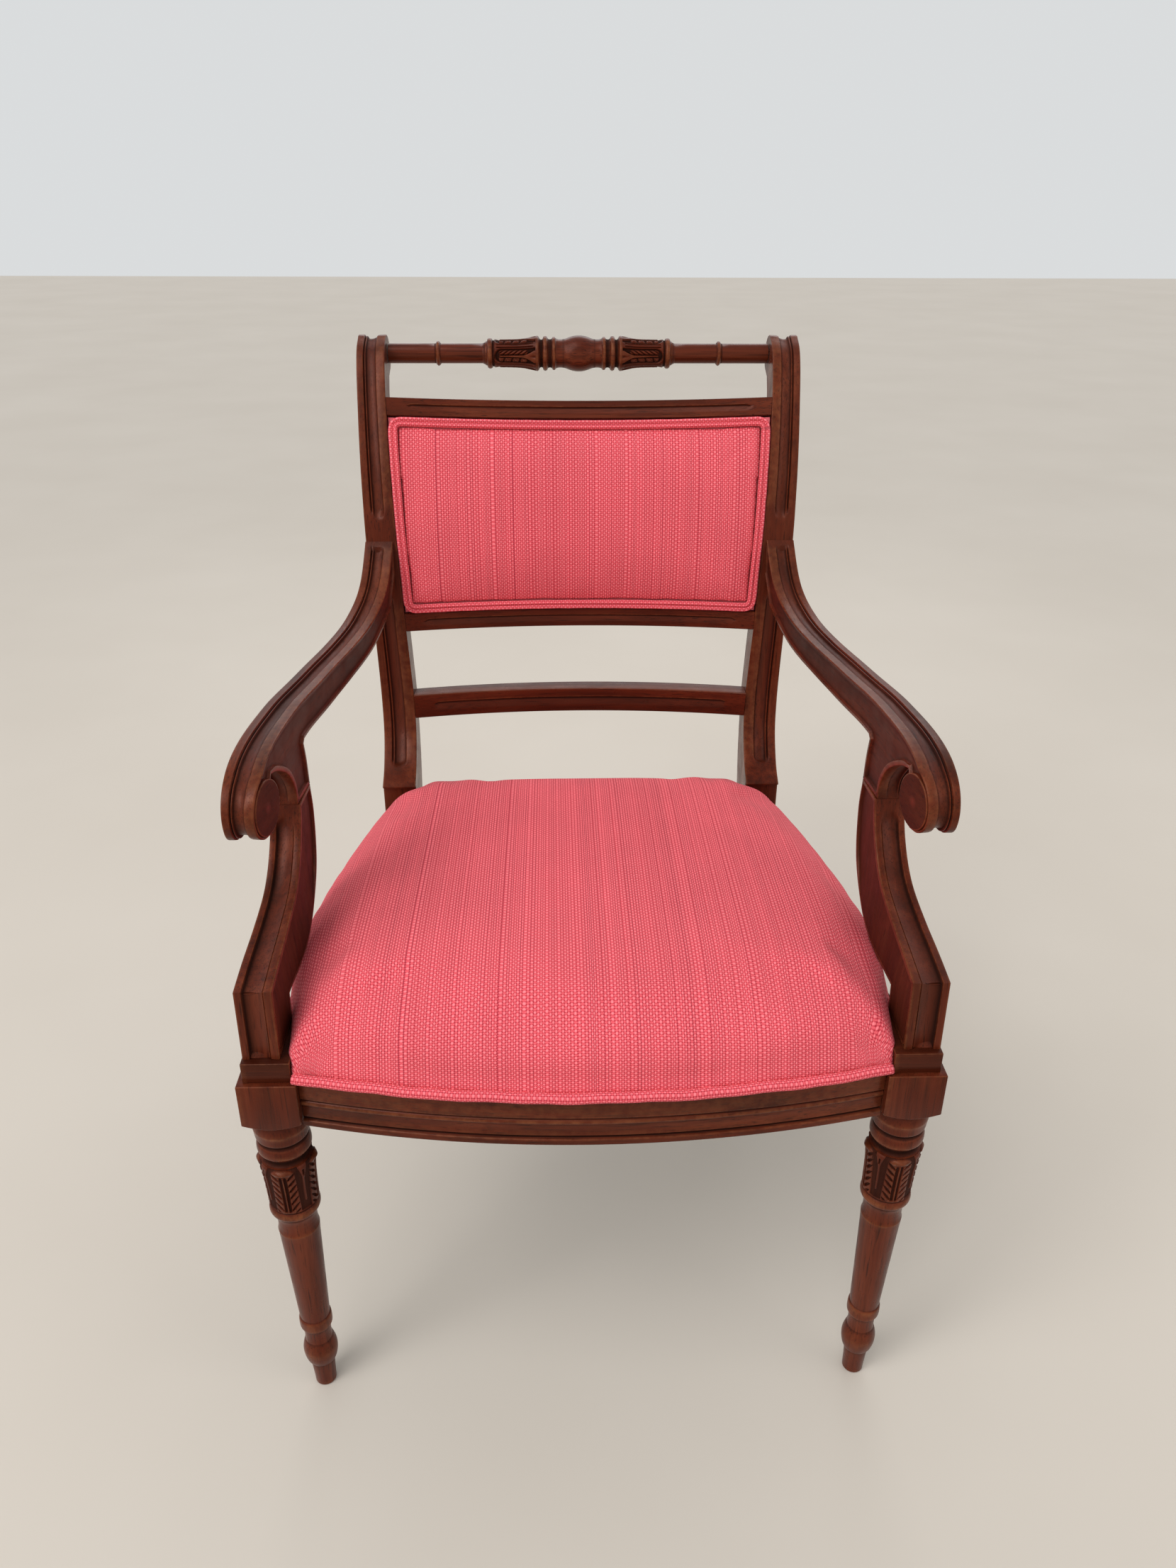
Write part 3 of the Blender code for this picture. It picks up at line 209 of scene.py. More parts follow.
def wood_material(name, grain, tone=1.0, red=0.0):
    """Stained mahogany whose grain runs along this axis: darker in recesses (dark glaze with painted shade)
    and lighter at edges (wear with painted highlight).
    """
    m = Nodes(name)
    along = {"x": (0.05, 1, 1), "y": (1, 0.05, 1), "z": (1, 1, 0.05)}[grain]
    fine = {"x": (0.025, 1, 1), "y": (1, 0.025, 1), "z": (1, 1, 0.025)}[grain]
    wave = m.noise(m.place(along), 38, 5, 0.62)
    streak = m.noise(m.place(fine), 260, 3, 0.6)
    pores = m.noise(m.place(fine), 900, 2, 0.5)
    cloud = m.noise(m.place(), 9, 3, 0.5)
    dark = (0.021 * tone, 0.0034 * tone, 0.0014 * tone)
    mid = ((0.088 + red) * tone, 0.0132 * tone, 0.0048 * tone)
    pale = ((0.168 + red) * tone, 0.0370 * tone, 0.0150 * tone)
    base = m.ramp(wave, (0.28, dark), (0.52, mid), (0.80, pale))
    base = m.mix(m.ramp(streak, (0.46, 0.0), (0.70, 0.50)), base,
                 (0.020 * tone, 0.0036 * tone, 0.0018 * tone))
    pore = m.ramp(pores, (0.32, 1.0), (0.42, 0.0))
    base = m.mix(m.math("MULTIPLY", pore, 0.70), base, (0.008, 0.0020, 0.0012))
    base = m.mix(m.ramp(cloud, (0.38, 0.0), (0.68, 0.36)), base, (0.092 + red, 0.0180, 0.0070), "MIX")
    # The point attribute read here is lighter above 0 (rubbed stain with painted highlight) and darker below
    # 0 (dark glaze with painted shade).
    wear_and_shading = m.attribute("wear_and_shading")
    rubbed = m.noise(m.place(), 140, 3, 0.6)
    # Painted highlight with real wear: edges turn a patchy, lighter orange-brown.
    edge = m.math("MULTIPLY", m.math("MAXIMUM", wear_and_shading, 0.0), m.ramp(rubbed, (0.36, 0.15), (0.66, 1.0)))
    base = m.mix(m.math("MULTIPLY", edge, 0.58, clamp=True), base, (0.25, 0.082, 0.030))
    # Painted shade with dark glaze: recesses and sunk faces are darkened towards black, and made rougher too.
    glaze_and_shade = m.math("MULTIPLY", m.math("MAXIMUM", m.math("MULTIPLY", wear_and_shading, -1.0), 0.0), 0.88, clamp=True)
    base = m.mix(glaze_and_shade, base, (0.006, 0.0018, 0.0011))
    rough = m.ramp(m.noise(m.place(), 55, 4), (0.3, 0.24), (0.7, 0.37))
    rough = m.math("ADD", rough, m.math("MULTIPLY", glaze_and_shade, 0.75), clamp=True)
    height = m.math("ADD", m.math("MULTIPLY", pore, -0.6), m.math("MULTIPLY", streak, 0.35))
    normal = m.bump(height, 0.00025, 0.35)
    normal = m.bump(m.noise(m.place(), 60, 2), 0.0006, 0.22, normal)
    return m.surface(base, rough, normal, IOR=1.40, Specular_IOR_Level=0.36,
                     Specular_Tint=(1.0, 0.56, 0.46, 1))


def plain_wood_material():
    m = Nodes("plain_wood")
    grain = m.noise(m.place((0.08, 1, 1)), 120, 4, 0.6)
    tone = m.ramp(grain, (0.3, (0.30, 0.17, 0.085)), (0.55, (0.42, 0.27, 0.15)), (0.75, (0.52, 0.36, 0.22)))
    return m.surface(tone, 0.62, m.bump(grain, 0.0003, 0.5))


def cloth_material():
    """Chunky coral weave: staggered floats in lengthwise columns, some columns parted by a thin dark line."""
    m = Nodes("coral_weave")
    place = m.attribute("weave", "Vector")
    split = m.tree.nodes.new("ShaderNodeSeparateXYZ")
    m.link(place, split.inputs[0])
    across, along = split.outputs[0], split.outputs[1]
    drift = m.noise(across, 60, 2, 0.5, "1D")
    column = m.math("ADD", m.math("MULTIPLY", across, 403), m.math("MULTIPLY", drift, 3.0))
    wobble = m.noise(place, 210, 2)
    row = m.math("ADD", m.math("MULTIPLY", along, 232), m.math("MULTIPLY", wobble, 0.32))
    number = m.math("FLOOR", column)
    shift = m.math("MULTIPLY", number, 0.5)
    jitter = m.math("MULTIPLY", m.white(number), 0.16)
    float_place = m.math("FRACT", m.math("ADD", m.math("ADD", row, shift), jitter))
    u = m.math("SUBTRACT", m.math("MULTIPLY", m.math("FRACT", column), 2.0), 1.0)
    v = m.math("SUBTRACT", m.math("MULTIPLY", float_place, 2.0), 1.0)
    near = m.math("ADD", m.math("POWER", m.math("ABSOLUTE", m.math("DIVIDE", u, 0.93)), 2.6),
                  m.math("POWER", m.math("ABSOLUTE", m.math("DIVIDE", v, 0.66)), 2.2))
    warp = m.math("SQRT", m.math("SUBTRACT", 1.0, near, clamp=True))
    weft = m.math("MULTIPLY", m.math("SQRT", m.math("SUBTRACT", 1.0,
                                                    m.math("POWER",
                                                           m.math("DIVIDE",
                                                                  m.math("SUBTRACT", m.math("ABSOLUTE", v),
                                                                         1.0), 0.40), 2.0), clamp=True)),
                                                                         0.62)
    height = m.math("MAXIMUM", warp, weft)
    strand = m.noise(m.place((1900, 640, 1), place), 1.0, 3, 0.6)
    height = m.math("ADD", m.math("MULTIPLY", height, 0.86), m.math("MULTIPLY", strand, 0.26))
    # Colour by float height: painted highlight on the float tops and painted shade in the gaps between them.
    tone = m.ramp(height, (0.08, (0.38, 0.015, 0.032)), (0.40, (0.66, 0.060, 0.082)),
                  (0.70, (0.85, 0.124, 0.150)), (1.0, (0.96, 0.240, 0.268)))
    # The parting line is painted dark and is also sunk in the bump.
    parted = m.math("GREATER_THAN", m.white(m.math("ADD", number, 0.5)), 0.80)
    gap = m.math("MULTIPLY", parted, m.ramp(m.math("ABSOLUTE", u), (0.66, 0.0), (0.94, 0.55)))
    tone = m.mix(gap, tone, (0.34, 0.022, 0.046))
    stripe = m.math("ADD", m.math("MULTIPLY", m.white(m.math("ADD", number, 7.3)), 0.10), 0.93)
    tone = m.mix(1.0, tone, stripe, "MULTIPLY")
    cloud = m.ramp(m.noise(place, 11, 3), (0.3, 0.95), (0.7, 1.05))
    tone = m.mix(1.0, tone, cloud, "MULTIPLY")
    lift = m.math("SUBTRACT", height, m.math("MULTIPLY", gap, 0.5))
    normal = m.bump(lift, 0.0007, 0.75)
    return m.surface(tone, 0.88, normal, Sheen_Weight=0.08, Sheen_Roughness=0.5,
                     Sheen_Tint=(1.0, 0.6, 0.6, 1), Specular_IOR_Level=0.2)


def woven_material(name, low, high, scale, roughness=0.9):
    """A plain thin cloth with a fine crossing weave."""
    m = Nodes(name)
    where = m.place((scale, scale, scale))
    lines = [m.add("TexWave", where, wave_type="BANDS", bands_direction=d, out=1) for d in "XY"]
    weave = m.math("MULTIPLY", lines[0], lines[1])
    grime = m.noise(m.place(), 40, 3)
    tone = m.mix(weave, low, high)
    tone = m.mix(m.math("MULTIPLY", grime, 0.3), tone, low)
    return m.surface(tone, roughness, m.bump(weave, 0.0004, 0.6))


def foam_material():
    m = Nodes("foam_cells")
    cells = m.add("TexVoronoi", m.place(), None, 420.0, feature="F1")
    tone = m.ramp(cells, (0.0, (0.62, 0.55, 0.36)), (0.6, (0.86, 0.80, 0.62)))
    return m.surface(tone, 0.95, m.bump(cells, 0.0008, 0.6))


def steel_material():
    m = Nodes("zinc_steel")
    streak = m.noise(m.place((1, 1, 0.1)), 600, 2)
    tone = m.ramp(streak, (0.3, (0.42, 0.40, 0.36)), (0.7, (0.66, 0.63, 0.56)))
    return m.surface(tone, m.ramp(streak, (0.2, 0.28), (0.8, 0.46)), Metallic=1.0)


# ---- curves and meshes --------------------------------------------------------------
def smooth(points, gap=None):
    """Points every gap metres along a Catmull-Rom curve through these ones."""
    points = np.array(points, float)
    ends = np.vstack([2 * points[0] - points[1], points, 2 * points[-1] - points[-2]])
    t = np.linspace(0, 1, 24, endpoint=False)[:, None]
    runs = []
    for a, b, c, d in zip(ends, ends[1:], ends[2:], ends[3:]):
        runs.append(0.5 * (2 * b + (c - a) * t + (2 * a - 5 * b + 4 * c - d) * t**2
                           + (3 * b - a - 3 * c + d) * t**3))
    return even(np.vstack(runs + [points[-1:]]), gap or STEP)


def even(points, gap):
    """Evenly spaced points along a polyline, its ends among them."""
    points = np.array(points, float)
    lengths = np.r_[0, np.cumsum(np.linalg.norm(np.diff(points, axis=0), axis=1))]
    count = max(2, int(round(lengths[-1] / gap)) + 1)
    at = np.linspace(0, lengths[-1], count)
    return np.stack([np.interp(at, lengths, points[:, i]) for i in range(points.shape[1])], 1)


def arc(centre, radius, start, end):
    angles = np.radians(np.linspace(start, end, max(3, int(abs(radians(end - start)) * radius / STEP) + 2)))
    return np.stack([centre[0] + radius * np.cos(angles), centre[1] + radius * np.sin(angles)], 1)


def outline_of(*runs):
    """A closed outline from runs of points, and each point's run and place (0 to 1) along it."""
    points, owner, place = [], [], []
    for number, run in enumerate(runs):
        for i, p in enumerate(run):
            if not points or np.linalg.norm(p - points[-1]) > 0.0003:
                points.append(p)
                owner.append(number)
                place.append(i / max(1, len(run) - 1))
    while np.linalg.norm(points[0] - points[-1]) < 0.0003:
        points.pop(), owner.pop(), place.pop()
    return np.array(points), np.array(owner), np.array(place)


def inward(outline):
    """Normals into a closed outline, longer at corners so that an offset keeps its width."""
    before = outline - np.roll(outline, 1, 0)
    after = np.roll(outline, -1, 0) - outline
    before /= np.linalg.norm(before, axis=1)[:, None]
    after /= np.linalg.norm(after, axis=1)[:, None]
    along = before + after
    along /= np.linalg.norm(along, axis=1)[:, None]
    x, y = outline.T
    area = (x * np.roll(y, -1) - np.roll(x, -1) * y).sum()
    normals = np.stack([-along[:, 1], along[:, 0]], 1) * np.sign(area)
    half = np.clip((along * before).sum(1), 0.62, 1.0)
    return normals / half[:, None]


def new_object(name, vertices, faces, material, attributes=None, sharp=32, merge=0.0):
    """A riding piece from vertices and faces, with point attributes."""
    mesh = bpy.data.meshes.new(name)
    vertices = np.asarray(vertices, np.float32)
    sizes = np.array([len(f) for f in faces], np.int32)
    mesh.vertices.add(len(vertices))
    mesh.vertices.foreach_set("co", vertices.ravel())
    mesh.loops.add(int(sizes.sum()))
    mesh.loops.foreach_set("vertex_index", np.fromiter((i for f in faces for i in f), np.int32))
    mesh.polygons.add(len(sizes))
    mesh.polygons.foreach_set("loop_start", np.r_[0, np.cumsum(sizes)[:-1]].astype(np.int32))
    mesh.update(calc_edges=True)
    for key, values in (attributes or {}).items():
        values = np.asarray(values, np.float32)
        kind = "FLOAT" if values.ndim == 1 else "FLOAT_VECTOR"
        layer = mesh.attributes.new(key, kind, "POINT")
        layer.data.foreach_set("value" if values.ndim == 1 else "vector", values.ravel())
    bm = bmesh.new()
    bm.from_mesh(mesh)
    if merge:
        bmesh.ops.remove_doubles(bm, verts=bm.verts, dist=merge)
    bmesh.ops.recalc_face_normals(bm, faces=bm.faces)
    bm.to_mesh(mesh)
    bm.free()
    mesh.materials.append(material)
    mesh.shade_smooth()
    if sharp:
        mesh.set_sharp_from_angle(angle=radians(sharp))
    obj = bpy.data.objects.new(name, mesh)
    bpy.context.scene.collection.objects.link(obj)
    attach(obj, "root")
    return obj


def strip_faces(rows, count, start=0, closed=True, loop=False):
    """Quads between consecutive rows of equally many points."""
    faces = []
    pairs = [(r, (r + 1) % rows) for r in range(rows if loop else rows - 1)]
    for r, s in pairs:
        for i in range(count if closed else count - 1):
            j = (i + 1) % count
            faces.append((start + r * count + i, start + r * count + j, start + s * count + j,
                          start + s * count + i))
    return faces


def filled(outline, gap):
    """Triangles that fill a closed outline, with a grid of points inside: (points, faces)."""
    low, high = outline.min(0), outline.max(0)
    xs = np.arange(low[0] + gap, high[0], gap)
    ys = np.arange(low[1] + gap, high[1], gap)
    grid = np.stack(np.meshgrid(xs, ys), -1).reshape(-1, 2)
    a, b = outline, np.roll(outline, -1, 0)
    crossing = (a[:, 1] > grid[:, 1:2]) != (b[:, 1] > grid[:, 1:2])
    with np.errstate(divide="ignore", invalid="ignore"):
        meets = a[:, 0] + (grid[:, 1:2] - a[:, 1]) * (b[:, 0] - a[:, 0]) / (b[:, 1] - a[:, 1])
    inside = (crossing & (grid[:, 0:1] < meets)).sum(1) % 2 == 1
    near = np.array([np.min(np.hypot(*(outline - p).T)) for p in grid]) > 0.6 * gap
    points = np.vstack([outline, grid[inside & near]])
    count = len(outline)
    edges = [(i, (i + 1) % count) for i in range(count)]
    vertices, _, faces, *_ = delaunay_2d_cdt([Vector(p) for p in points], edges, [], 1, 1e-7)
    return np.array([tuple(v) for v in vertices]), [tuple(f) for f in faces]


# ---- sawn and moulded pieces --------------------------------------------------------
ARRIS = 0.0008            # radius worn on every edge

# Sections worked along an edge: (share of the width from outside, depth in mm, wear and painted shading:
# above 0 lighter as wear with painted highlight, below 0 darker as glaze with painted shade).
SECTION = [
    (0.06, 0.0, 0.15), (0.19, 0.0, 0.15), (0.222, 0.15, 0.45), (0.238, 0.8, 0.0), (0.250, 2.2, -0.9),
    (0.264, 2.6, -1.0), (0.278, 2.0, -0.3), (0.294, 1.35, 0.25), (0.312, 1.35, 0.25), (0.328, 2.0, -0.4),
    (0.340, 3.2, -0.9), (0.362, 3.8, -0.6), (0.42, 4.1, -0.25), (0.50, 4.0, -0.1), (0.58, 3.4, 0.0),
    (0.63, 2.8, -0.2), (0.658, 2.5, -0.7), (0.672, 1.5, 0.2), (0.690, 0.8, 0.65), (0.74, 0.35, 0.50),
    (0.86, 0.1, 0.40), (0.94, 0.0, 0.50),
]
SUPPORT_SECTION = [
    (0.06, 0.0, 0.0), (0.165, 0.0, 0.0), (0.192, 0.2, 0.5), (0.207, 1.3, -0.7), (0.222, 3.0, -1.0),
    (0.245, 4.0, -0.8), (0.30, 4.4, -0.4), (0.40, 4.2, -0.15), (0.52, 3.5, 0.0), (0.64, 2.3, 0.0),
    (0.715, 1.35, 0.05), (0.742, 1.0, 0.35), (0.750, 1.35, -0.5), (0.764, 0.9, 0.1), (0.782, 0.3, 0.35),
    (0.86, 0.05, 0.0), (0.94, 0.0, 0.1),
]


def sawn(name, outline, width_at, section, mask, side, material, relief=None):
    """A sawn piece: its outline across X, rounded arrises, a moulding on the masked stretch.

    width_at gives the outer X and the width for arrays of (distance, height). mask gives each
    point's share of the depth for a share of the width. relief gives, for each point, the rim
    left round the inner face, how far it slopes, and how deep the face lies behind it.
    """
    normals = inward(outline)
    count = len(outline)
    zero = np.zeros(count)
    rings = [(0.0, 0.0, zero + 0.0026, zero), (0.0, 0.0, zero + 0.0015, zero)]
    # The rounded arrises are painted lighter: painted highlight with wear.
    for a in (0, 30, 60, 90):
        rings.append((0.0, ARRIS * (1 - cos(radians(a))), zero + ARRIS * (1 - sin(radians(a))), zero + 0.55))
    for share, depth, wear_and_shading in section:
        weight = mask(share)
        rings.append((share, 0.0, depth * 0.001 * weight, wear_and_shading * weight))
    for a in (90, 60, 30, 0):
        rings.append((1.0, -ARRIS * (1 - cos(radians(a))), zero + ARRIS * (1 - sin(radians(a))), zero + 0.55))
    if relief is None:
        rings += [(1.0, 0.0, zero + 0.0015, zero), (1.0, 0.0, zero + 0.0026, zero)]
    else:
        rim, slope, depth_at = relief
        deep = depth_at(*outline.T)
        flat = rim + slope
        # The rim round the inner face is painted lighter and the sunk face darker: painted highlight and
        # painted shade.
        rings += [(1.0, 0.0, np.maximum(rim, ARRIS + 0.0002), zero + 0.3)]
        rings += [(1.0, -0.55 * deep, np.maximum(rim, ARRIS) + 0.30 * slope + 0.0002, zero)]
        rings += [(1.0, -0.90 * deep, flat * 0.8 + 0.2 * rim + 0.0004, zero - 0.45)]
        rings += [(1.0, -deep, flat + 0.0010, zero - 0.45), (1.0, -deep, flat + 0.0022, zero - 0.35)]
    vertices, wear_and_shading_parts = [], []
    for share, shift, depth, wear_and_shading in rings:
        edge = outline + normals * depth[:, None]
        vertices.append(place_sawn(edge, share, shift, width_at, side))
        wear_and_shading_parts.append(np.broadcast_to(wear_and_shading, count))
    faces = strip_faces(len(rings), count)
    total = len(rings) * count
    for share, shift, depth, wear_and_shading in (rings[0], rings[-1]):
        edge = outline + normals * depth[:, None]
        points, triangles = filled(edge, 0.006)
        if np.ndim(shift):
            shift = np.r_[shift, -depth_at(*points[count:].T)]
        vertices.append(place_sawn(points, share, shift, width_at, side))
        wear_and_shading_parts.append(np.full(len(points), wear_and_shading[0]))
        faces += [tuple(total + i for i in t) for t in triangles]
        total += len(points)
    return new_object(name, np.vstack(vertices), faces, material,
                      {"wear_and_shading": np.concatenate(wear_and_shading_parts)}, merge=2e-6)


def place_sawn(points, share, shift, width_at, side):
    outer, width = width_at(points[:, 0], points[:, 1])
    x = outer - share * width - shift
    return np.stack([side * x, FOOT_Y + points[:, 0], points[:, 1]], 1)


def ease(value):
    value = np.clip(value, 0, 1)
    return value * value * (3 - 2 * value)


# ---- side outlines, as in the solid model -------------------------------------------
STILE_FRONT = [
    (0.4165, 0.4225), (0.442, 0.4395), (0.464, 0.468), (0.4725, 0.503), (0.4745, 0.54),
    (0.4738, 0.58), (0.475, 0.63), (0.4790, 0.69), (0.486, 0.729), (0.4935, 0.759),
    (0.504, 0.789), (0.5165, 0.818), (0.531, 0.8475), (0.5465, 0.868), (0.567, 0.8788),
]
STILE_REAR = [
    (0.566, 0.838), (0.5535, 0.82), (0.541, 0.79), (0.5295, 0.76), (0.521, 0.73),
    (0.514, 0.695), (0.509, 0.65), (0.5075, 0.60), (0.5065, 0.55), (0.5035, 0.50),
    (0.4965, 0.46), (0.4860, 0.415), (0.4755, 0.365), (0.4715, 0.31), (0.476, 0.25),
    (0.494, 0.17), (0.523, 0.08), (0.5605, 0.0),
]
STILE_LEG_FRONT = [
    (0.535, 0.0), (0.497, 0.08), (0.462, 0.17), (0.437, 0.26), (0.4235, 0.34), (0.4215, 0.4205),
]
ARM_TOP = [
    (0.4373, 0.6468), (0.3877, 0.630), (0.3259, 0.6243), (0.2492, 0.625), (0.17, 0.6285),
    (0.1125, 0.6299), (0.072, 0.6265), (0.048, 0.6195), (0.034, 0.6085), (0.0285, 0.594),
    (0.032, 0.579), (0.042, 0.5705), (0.054, 0.5684),
]
SEAM_Z = 0.5515
ARM_ARCH = [(0.0755, 0.6105), (0.0949, 0.6037), (0.1189, 0.5887), (0.1320, 0.5705), (0.135, SEAM_Z + 0.0003)]
ARM_UNDER = [(0.172, 0.5945), (0.199, 0.5955), (0.2527, 0.5946), (0.310, 0.596), (0.379, 0.602),
             (0.447, 0.6205)]
SUPPORT_FRONT = [
    (-0.014, 0.467), (0.0215, 0.4735), (0.052, 0.480), (0.084, 0.4905), (0.104, 0.503),
    (0.121, 0.521), (0.131, 0.5385), (0.135, SEAM_Z),
]
SUPPORT_REAR = [
    (0.1745, SEAM_Z), (0.1775, 0.520), (0.168, 0.478), (0.146, 0.450), (0.119, 0.4335),
    (0.0785, 0.4275), (0.036, 0.4285),
]
STILE_OUTER = [(0.0, 0.2215), (0.43, 0.2215), (0.88, 0.232)]
STILE_WIDTH = [(0.0, 0.026), (0.30, 0.036), (0.50, 0.0364), (0.584, 0.0343), (0.70, 0.032), (0.824, 0.0292),
               (0.88, 0.029)]
ARM_OUTER = [(0.0, 0.281), (0.08, 0.2808), (0.18, 0.274), (0.28, 0.2595), (0.38, 0.2405), (0.44, 0.2310),
             (0.48, 0.2275)]
ARM_WIDTH = 0.0292
SUPPORT_OUTER = [(-0.02, 0.2795), (0.02, 0.279), (0.06, 0.2765), (0.10, 0.2735), (0.135, 0.2725)]
SUPPORT_WIDTH = [(-0.02, 0.030), (0.02, 0.0295), (0.06, 0.0278), (0.135, 0.026), (0.175, 0.0277)]
CREST = (0.572, 0.8605)
SCROLL_R = 0.0187
EYE = (0.054, 0.592)
EYE_R = 0.0236
EYE_SLANT = radians(10.6)


def table(at, rows):
    """Straight interpolation in rows of (place, value)."""
    return np.interp(at, [r[0] for r in rows], [r[1] for r in rows])


def soft_table(at, rows):
    """The same, eased so that the plan has no kinks."""
    offsets = np.linspace(-0.03, 0.03, 9)
    weights = np.hanning(11)[1:-1]
    values = [table(np.asarray(at) + o, rows) for o in offsets]
    return sum(w * v for w, v in zip(weights, values)) / weights.sum()


FRONT_CURVE = smooth(STILE_FRONT)


def stile_front(height):
    return np.interp(height, FRONT_CURVE[:, 1], FRONT_CURVE[:, 0])


def stile_inner(height):
    return table(height, STILE_OUTER) - table(height, STILE_WIDTH)


def stile(side_name, side, wood):
    runs = [smooth(STILE_FRONT), arc(CREST, SCROLL_R, 92, -72), smooth(STILE_REAR),
            even([STILE_REAR[-1], STILE_LEG_FRONT[0]], STEP),
            smooth(STILE_LEG_FRONT), np.array([(0.4165, 0.4210)])]
    outline, owner, place = outline_of(*runs)
    z = outline[:, 1]

    def width_at(y, height):
        return table(height, STILE_OUTER), table(height, STILE_WIDTH)

    def mask(share):
        """Channels above and below the arm, each with a rounded stop."""
        bulge = 0.010 * (1 - sqrt(max(0.0, 1 - min(1.0, abs(share - 0.46) / 0.24) ** 2)))
        low = ease((z - 0.4365 - 0.5 * bulge) / 0.005) * ease((0.628 - bulge - z) / 0.010)
        high = ease((z - 0.7035 - bulge) / 0.011)
        on_front = (owner == 0)
        on_scroll = (owner == 1) * ease((0.62 - place) / 0.2)
        return np.where(on_front, np.maximum(low, high), on_scroll)

    obj = sawn(f"stile_wood_{side_name}", outline, width_at, SECTION, mask, side, wood)
    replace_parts(obj, f"stile_{side_name}")


def arm(side_name, side, wood):
    rear = np.array([(stile_front(z) - 0.0003, z) for z in (0.6475, 0.656, 0.666, 0.675, 0.6835)])
    runs = [smooth([rear[-1], *ARM_TOP]), arc(EYE, EYE_R, -75, 40), smooth(ARM_ARCH),
            even([(0.135, SEAM_Z + 0.0003), (0.1745, SEAM_Z + 0.0003)], STEP),
            smooth([(0.1745, SEAM_Z + 0.0003), (0.1735, 0.575), (0.1705, 0.5925)]),
            smooth([(0.174, 0.5955), (0.199, 0.5958)] + ARM_UNDER[2:]), rear]
    outline, owner, place = outline_of(*runs)
    y, z = outline.T

    def width_at(y, height):
        outer = soft_table(y, ARM_OUTER)
        inner = outer - ARM_WIDTH + np.maximum(0.0, EYE[0] - y) * sin(EYE_SLANT)
        outer = outer - np.where(y > 0.09, 0.004 * np.clip((0.60 - height) / 0.03, 0, 1), 0)
        return outer, outer - inner

    def mask(share):
        top = (owner == 0) * ease((0.4735 - y) / 0.004 + (z < 0.62))
        end = (owner == 1) * ease(1 - place / 0.12)
        arch = (owner == 2) * ease(place / 0.1) * ease((1 - place) / 0.1) * 0.8
        return top + end + arch

    on = {k: owner == k for k in range(7)}
    rim = np.select([on[0], on[1], on[2], on[3], on[4], on[5], on[6]],
                    [0.0012, 0.0010, 0.0042, 0.004, 0.0030, 0.0030, 0.003])
    slope = np.select([on[0], on[1], on[2], on[3], on[4], on[5], on[6]],
                      [0.0055, 0.0010, 0.0010, 0.001, 0.0008, 0.0008, 0.001])
    rim, slope = (circle_smooth(v, 5) for v in (rim, slope))
    relief = (rim, slope, lambda y, z: np.full(len(y), 0.0026))
    obj = sawn(f"arm_wood_{side_name}", outline, width_at, SECTION, mask, side, wood, relief)
    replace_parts(obj, f"arm_{side_name}")
    scroll_eye(side_name, side, wood)


def scroll_eye(side_name, side, wood):
    """Flat disc in the arm's scroll, its rear edge proud of the arm's inner face."""
    across = Vector((-side * cos(EYE_SLANT), -sin(EYE_SLANT), 0))
    turn = across.to_track_quat("Z", "Y").to_matrix()
    centre = np.array((side * (0.2808 - ARM_WIDTH - 0.0004), FOOT_Y + EYE[0], EYE[1]))
    r = EYE_R - 0.0007

    def place(points):
        return points @ np.array(turn).T + centre

    # The disc's face is painted darker (painted shade, and rougher) and its rim lighter (painted highlight
    # with wear).
    profile = profile_of([(0.0, 0.0, -0.5), (0.008, 0.0001, -0.5), (0.016, 0.0, -0.5),
                          (r - 0.0010, -0.0001, -0.5)],
                         [(r - 0.0010, -0.0001, 0.4), (r - 0.0003, -0.0004, 0.8), (r, -0.0011, 0.3)],
                         [(r, -0.0012), (r, -0.009)])
    lathe(f"arm_eye_{side_name}", profile[1:], place, wood, steps=96)


def circle_smooth(values, reach):
    """A closed run of values averaged with their neighbours."""
    return sum(np.roll(values, k) for k in range(-reach, reach + 1)) / (2 * reach + 1)


def support(side_name, side, wood):
    foot = 0.4033
    runs = [even([(-0.0165, foot), (-0.014, 0.467)], STEP), smooth(SUPPORT_FRONT),
            even([SUPPORT_FRONT[-1], SUPPORT_REAR[0]], STEP),
            smooth(SUPPORT_REAR), even([(0.036, 0.4285), (0.034, foot)], STEP),
            even([(0.034, foot), (-0.0165, foot)], STEP)]
    outline, owner, place = outline_of(*runs)
    y, z = outline.T

    def width_at(y, height):
        return soft_table(y, SUPPORT_OUTER), soft_table(y, SUPPORT_WIDTH)

    def mask(share):
        bulge = 0.05 * (1 - sqrt(max(0.0, 1 - min(1.0, abs(share - 0.48) / 0.28) ** 2)))
        stem = (owner == 1) * ease((0.955 - bulge - place) / 0.05)
        return stem + (owner == 0) * 1.0

    rim = circle_smooth(np.select([owner == 1, owner == 3], [0.0044, 0.0030], 0.0034), 4)

    def depth_at(y, z):
        """The inner face is sunk above the knee and flush at the foot."""
        return 0.0001 + 0.0023 * ease((z - 0.438) / 0.034)

    relief = (rim, np.full(len(y), 0.0010), depth_at)
    obj = sawn(f"arm_support_wood_{side_name}", outline, width_at, SUPPORT_SECTION, mask, side, wood, relief)
    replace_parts(obj, f"arm_support_{side_name}")
    return obj


# ---- turned pieces ------------------------------------------------------------------
def profile_of(*runs, gap=0.0006):
    """Radius, place and wear with painted shading (painted highlight above 0, painted shade below 0) along a
    turned profile; each run is smooth, with an arris between runs.
    """
    pieces = []
    for run in runs:
        run = [(*p, 0.0)[:3] for p in run]
        pieces.append(smooth(run, gap) if len(run) > 2 else even(run, 0.004))
    return np.vstack([thinned(piece) for piece in pieces])


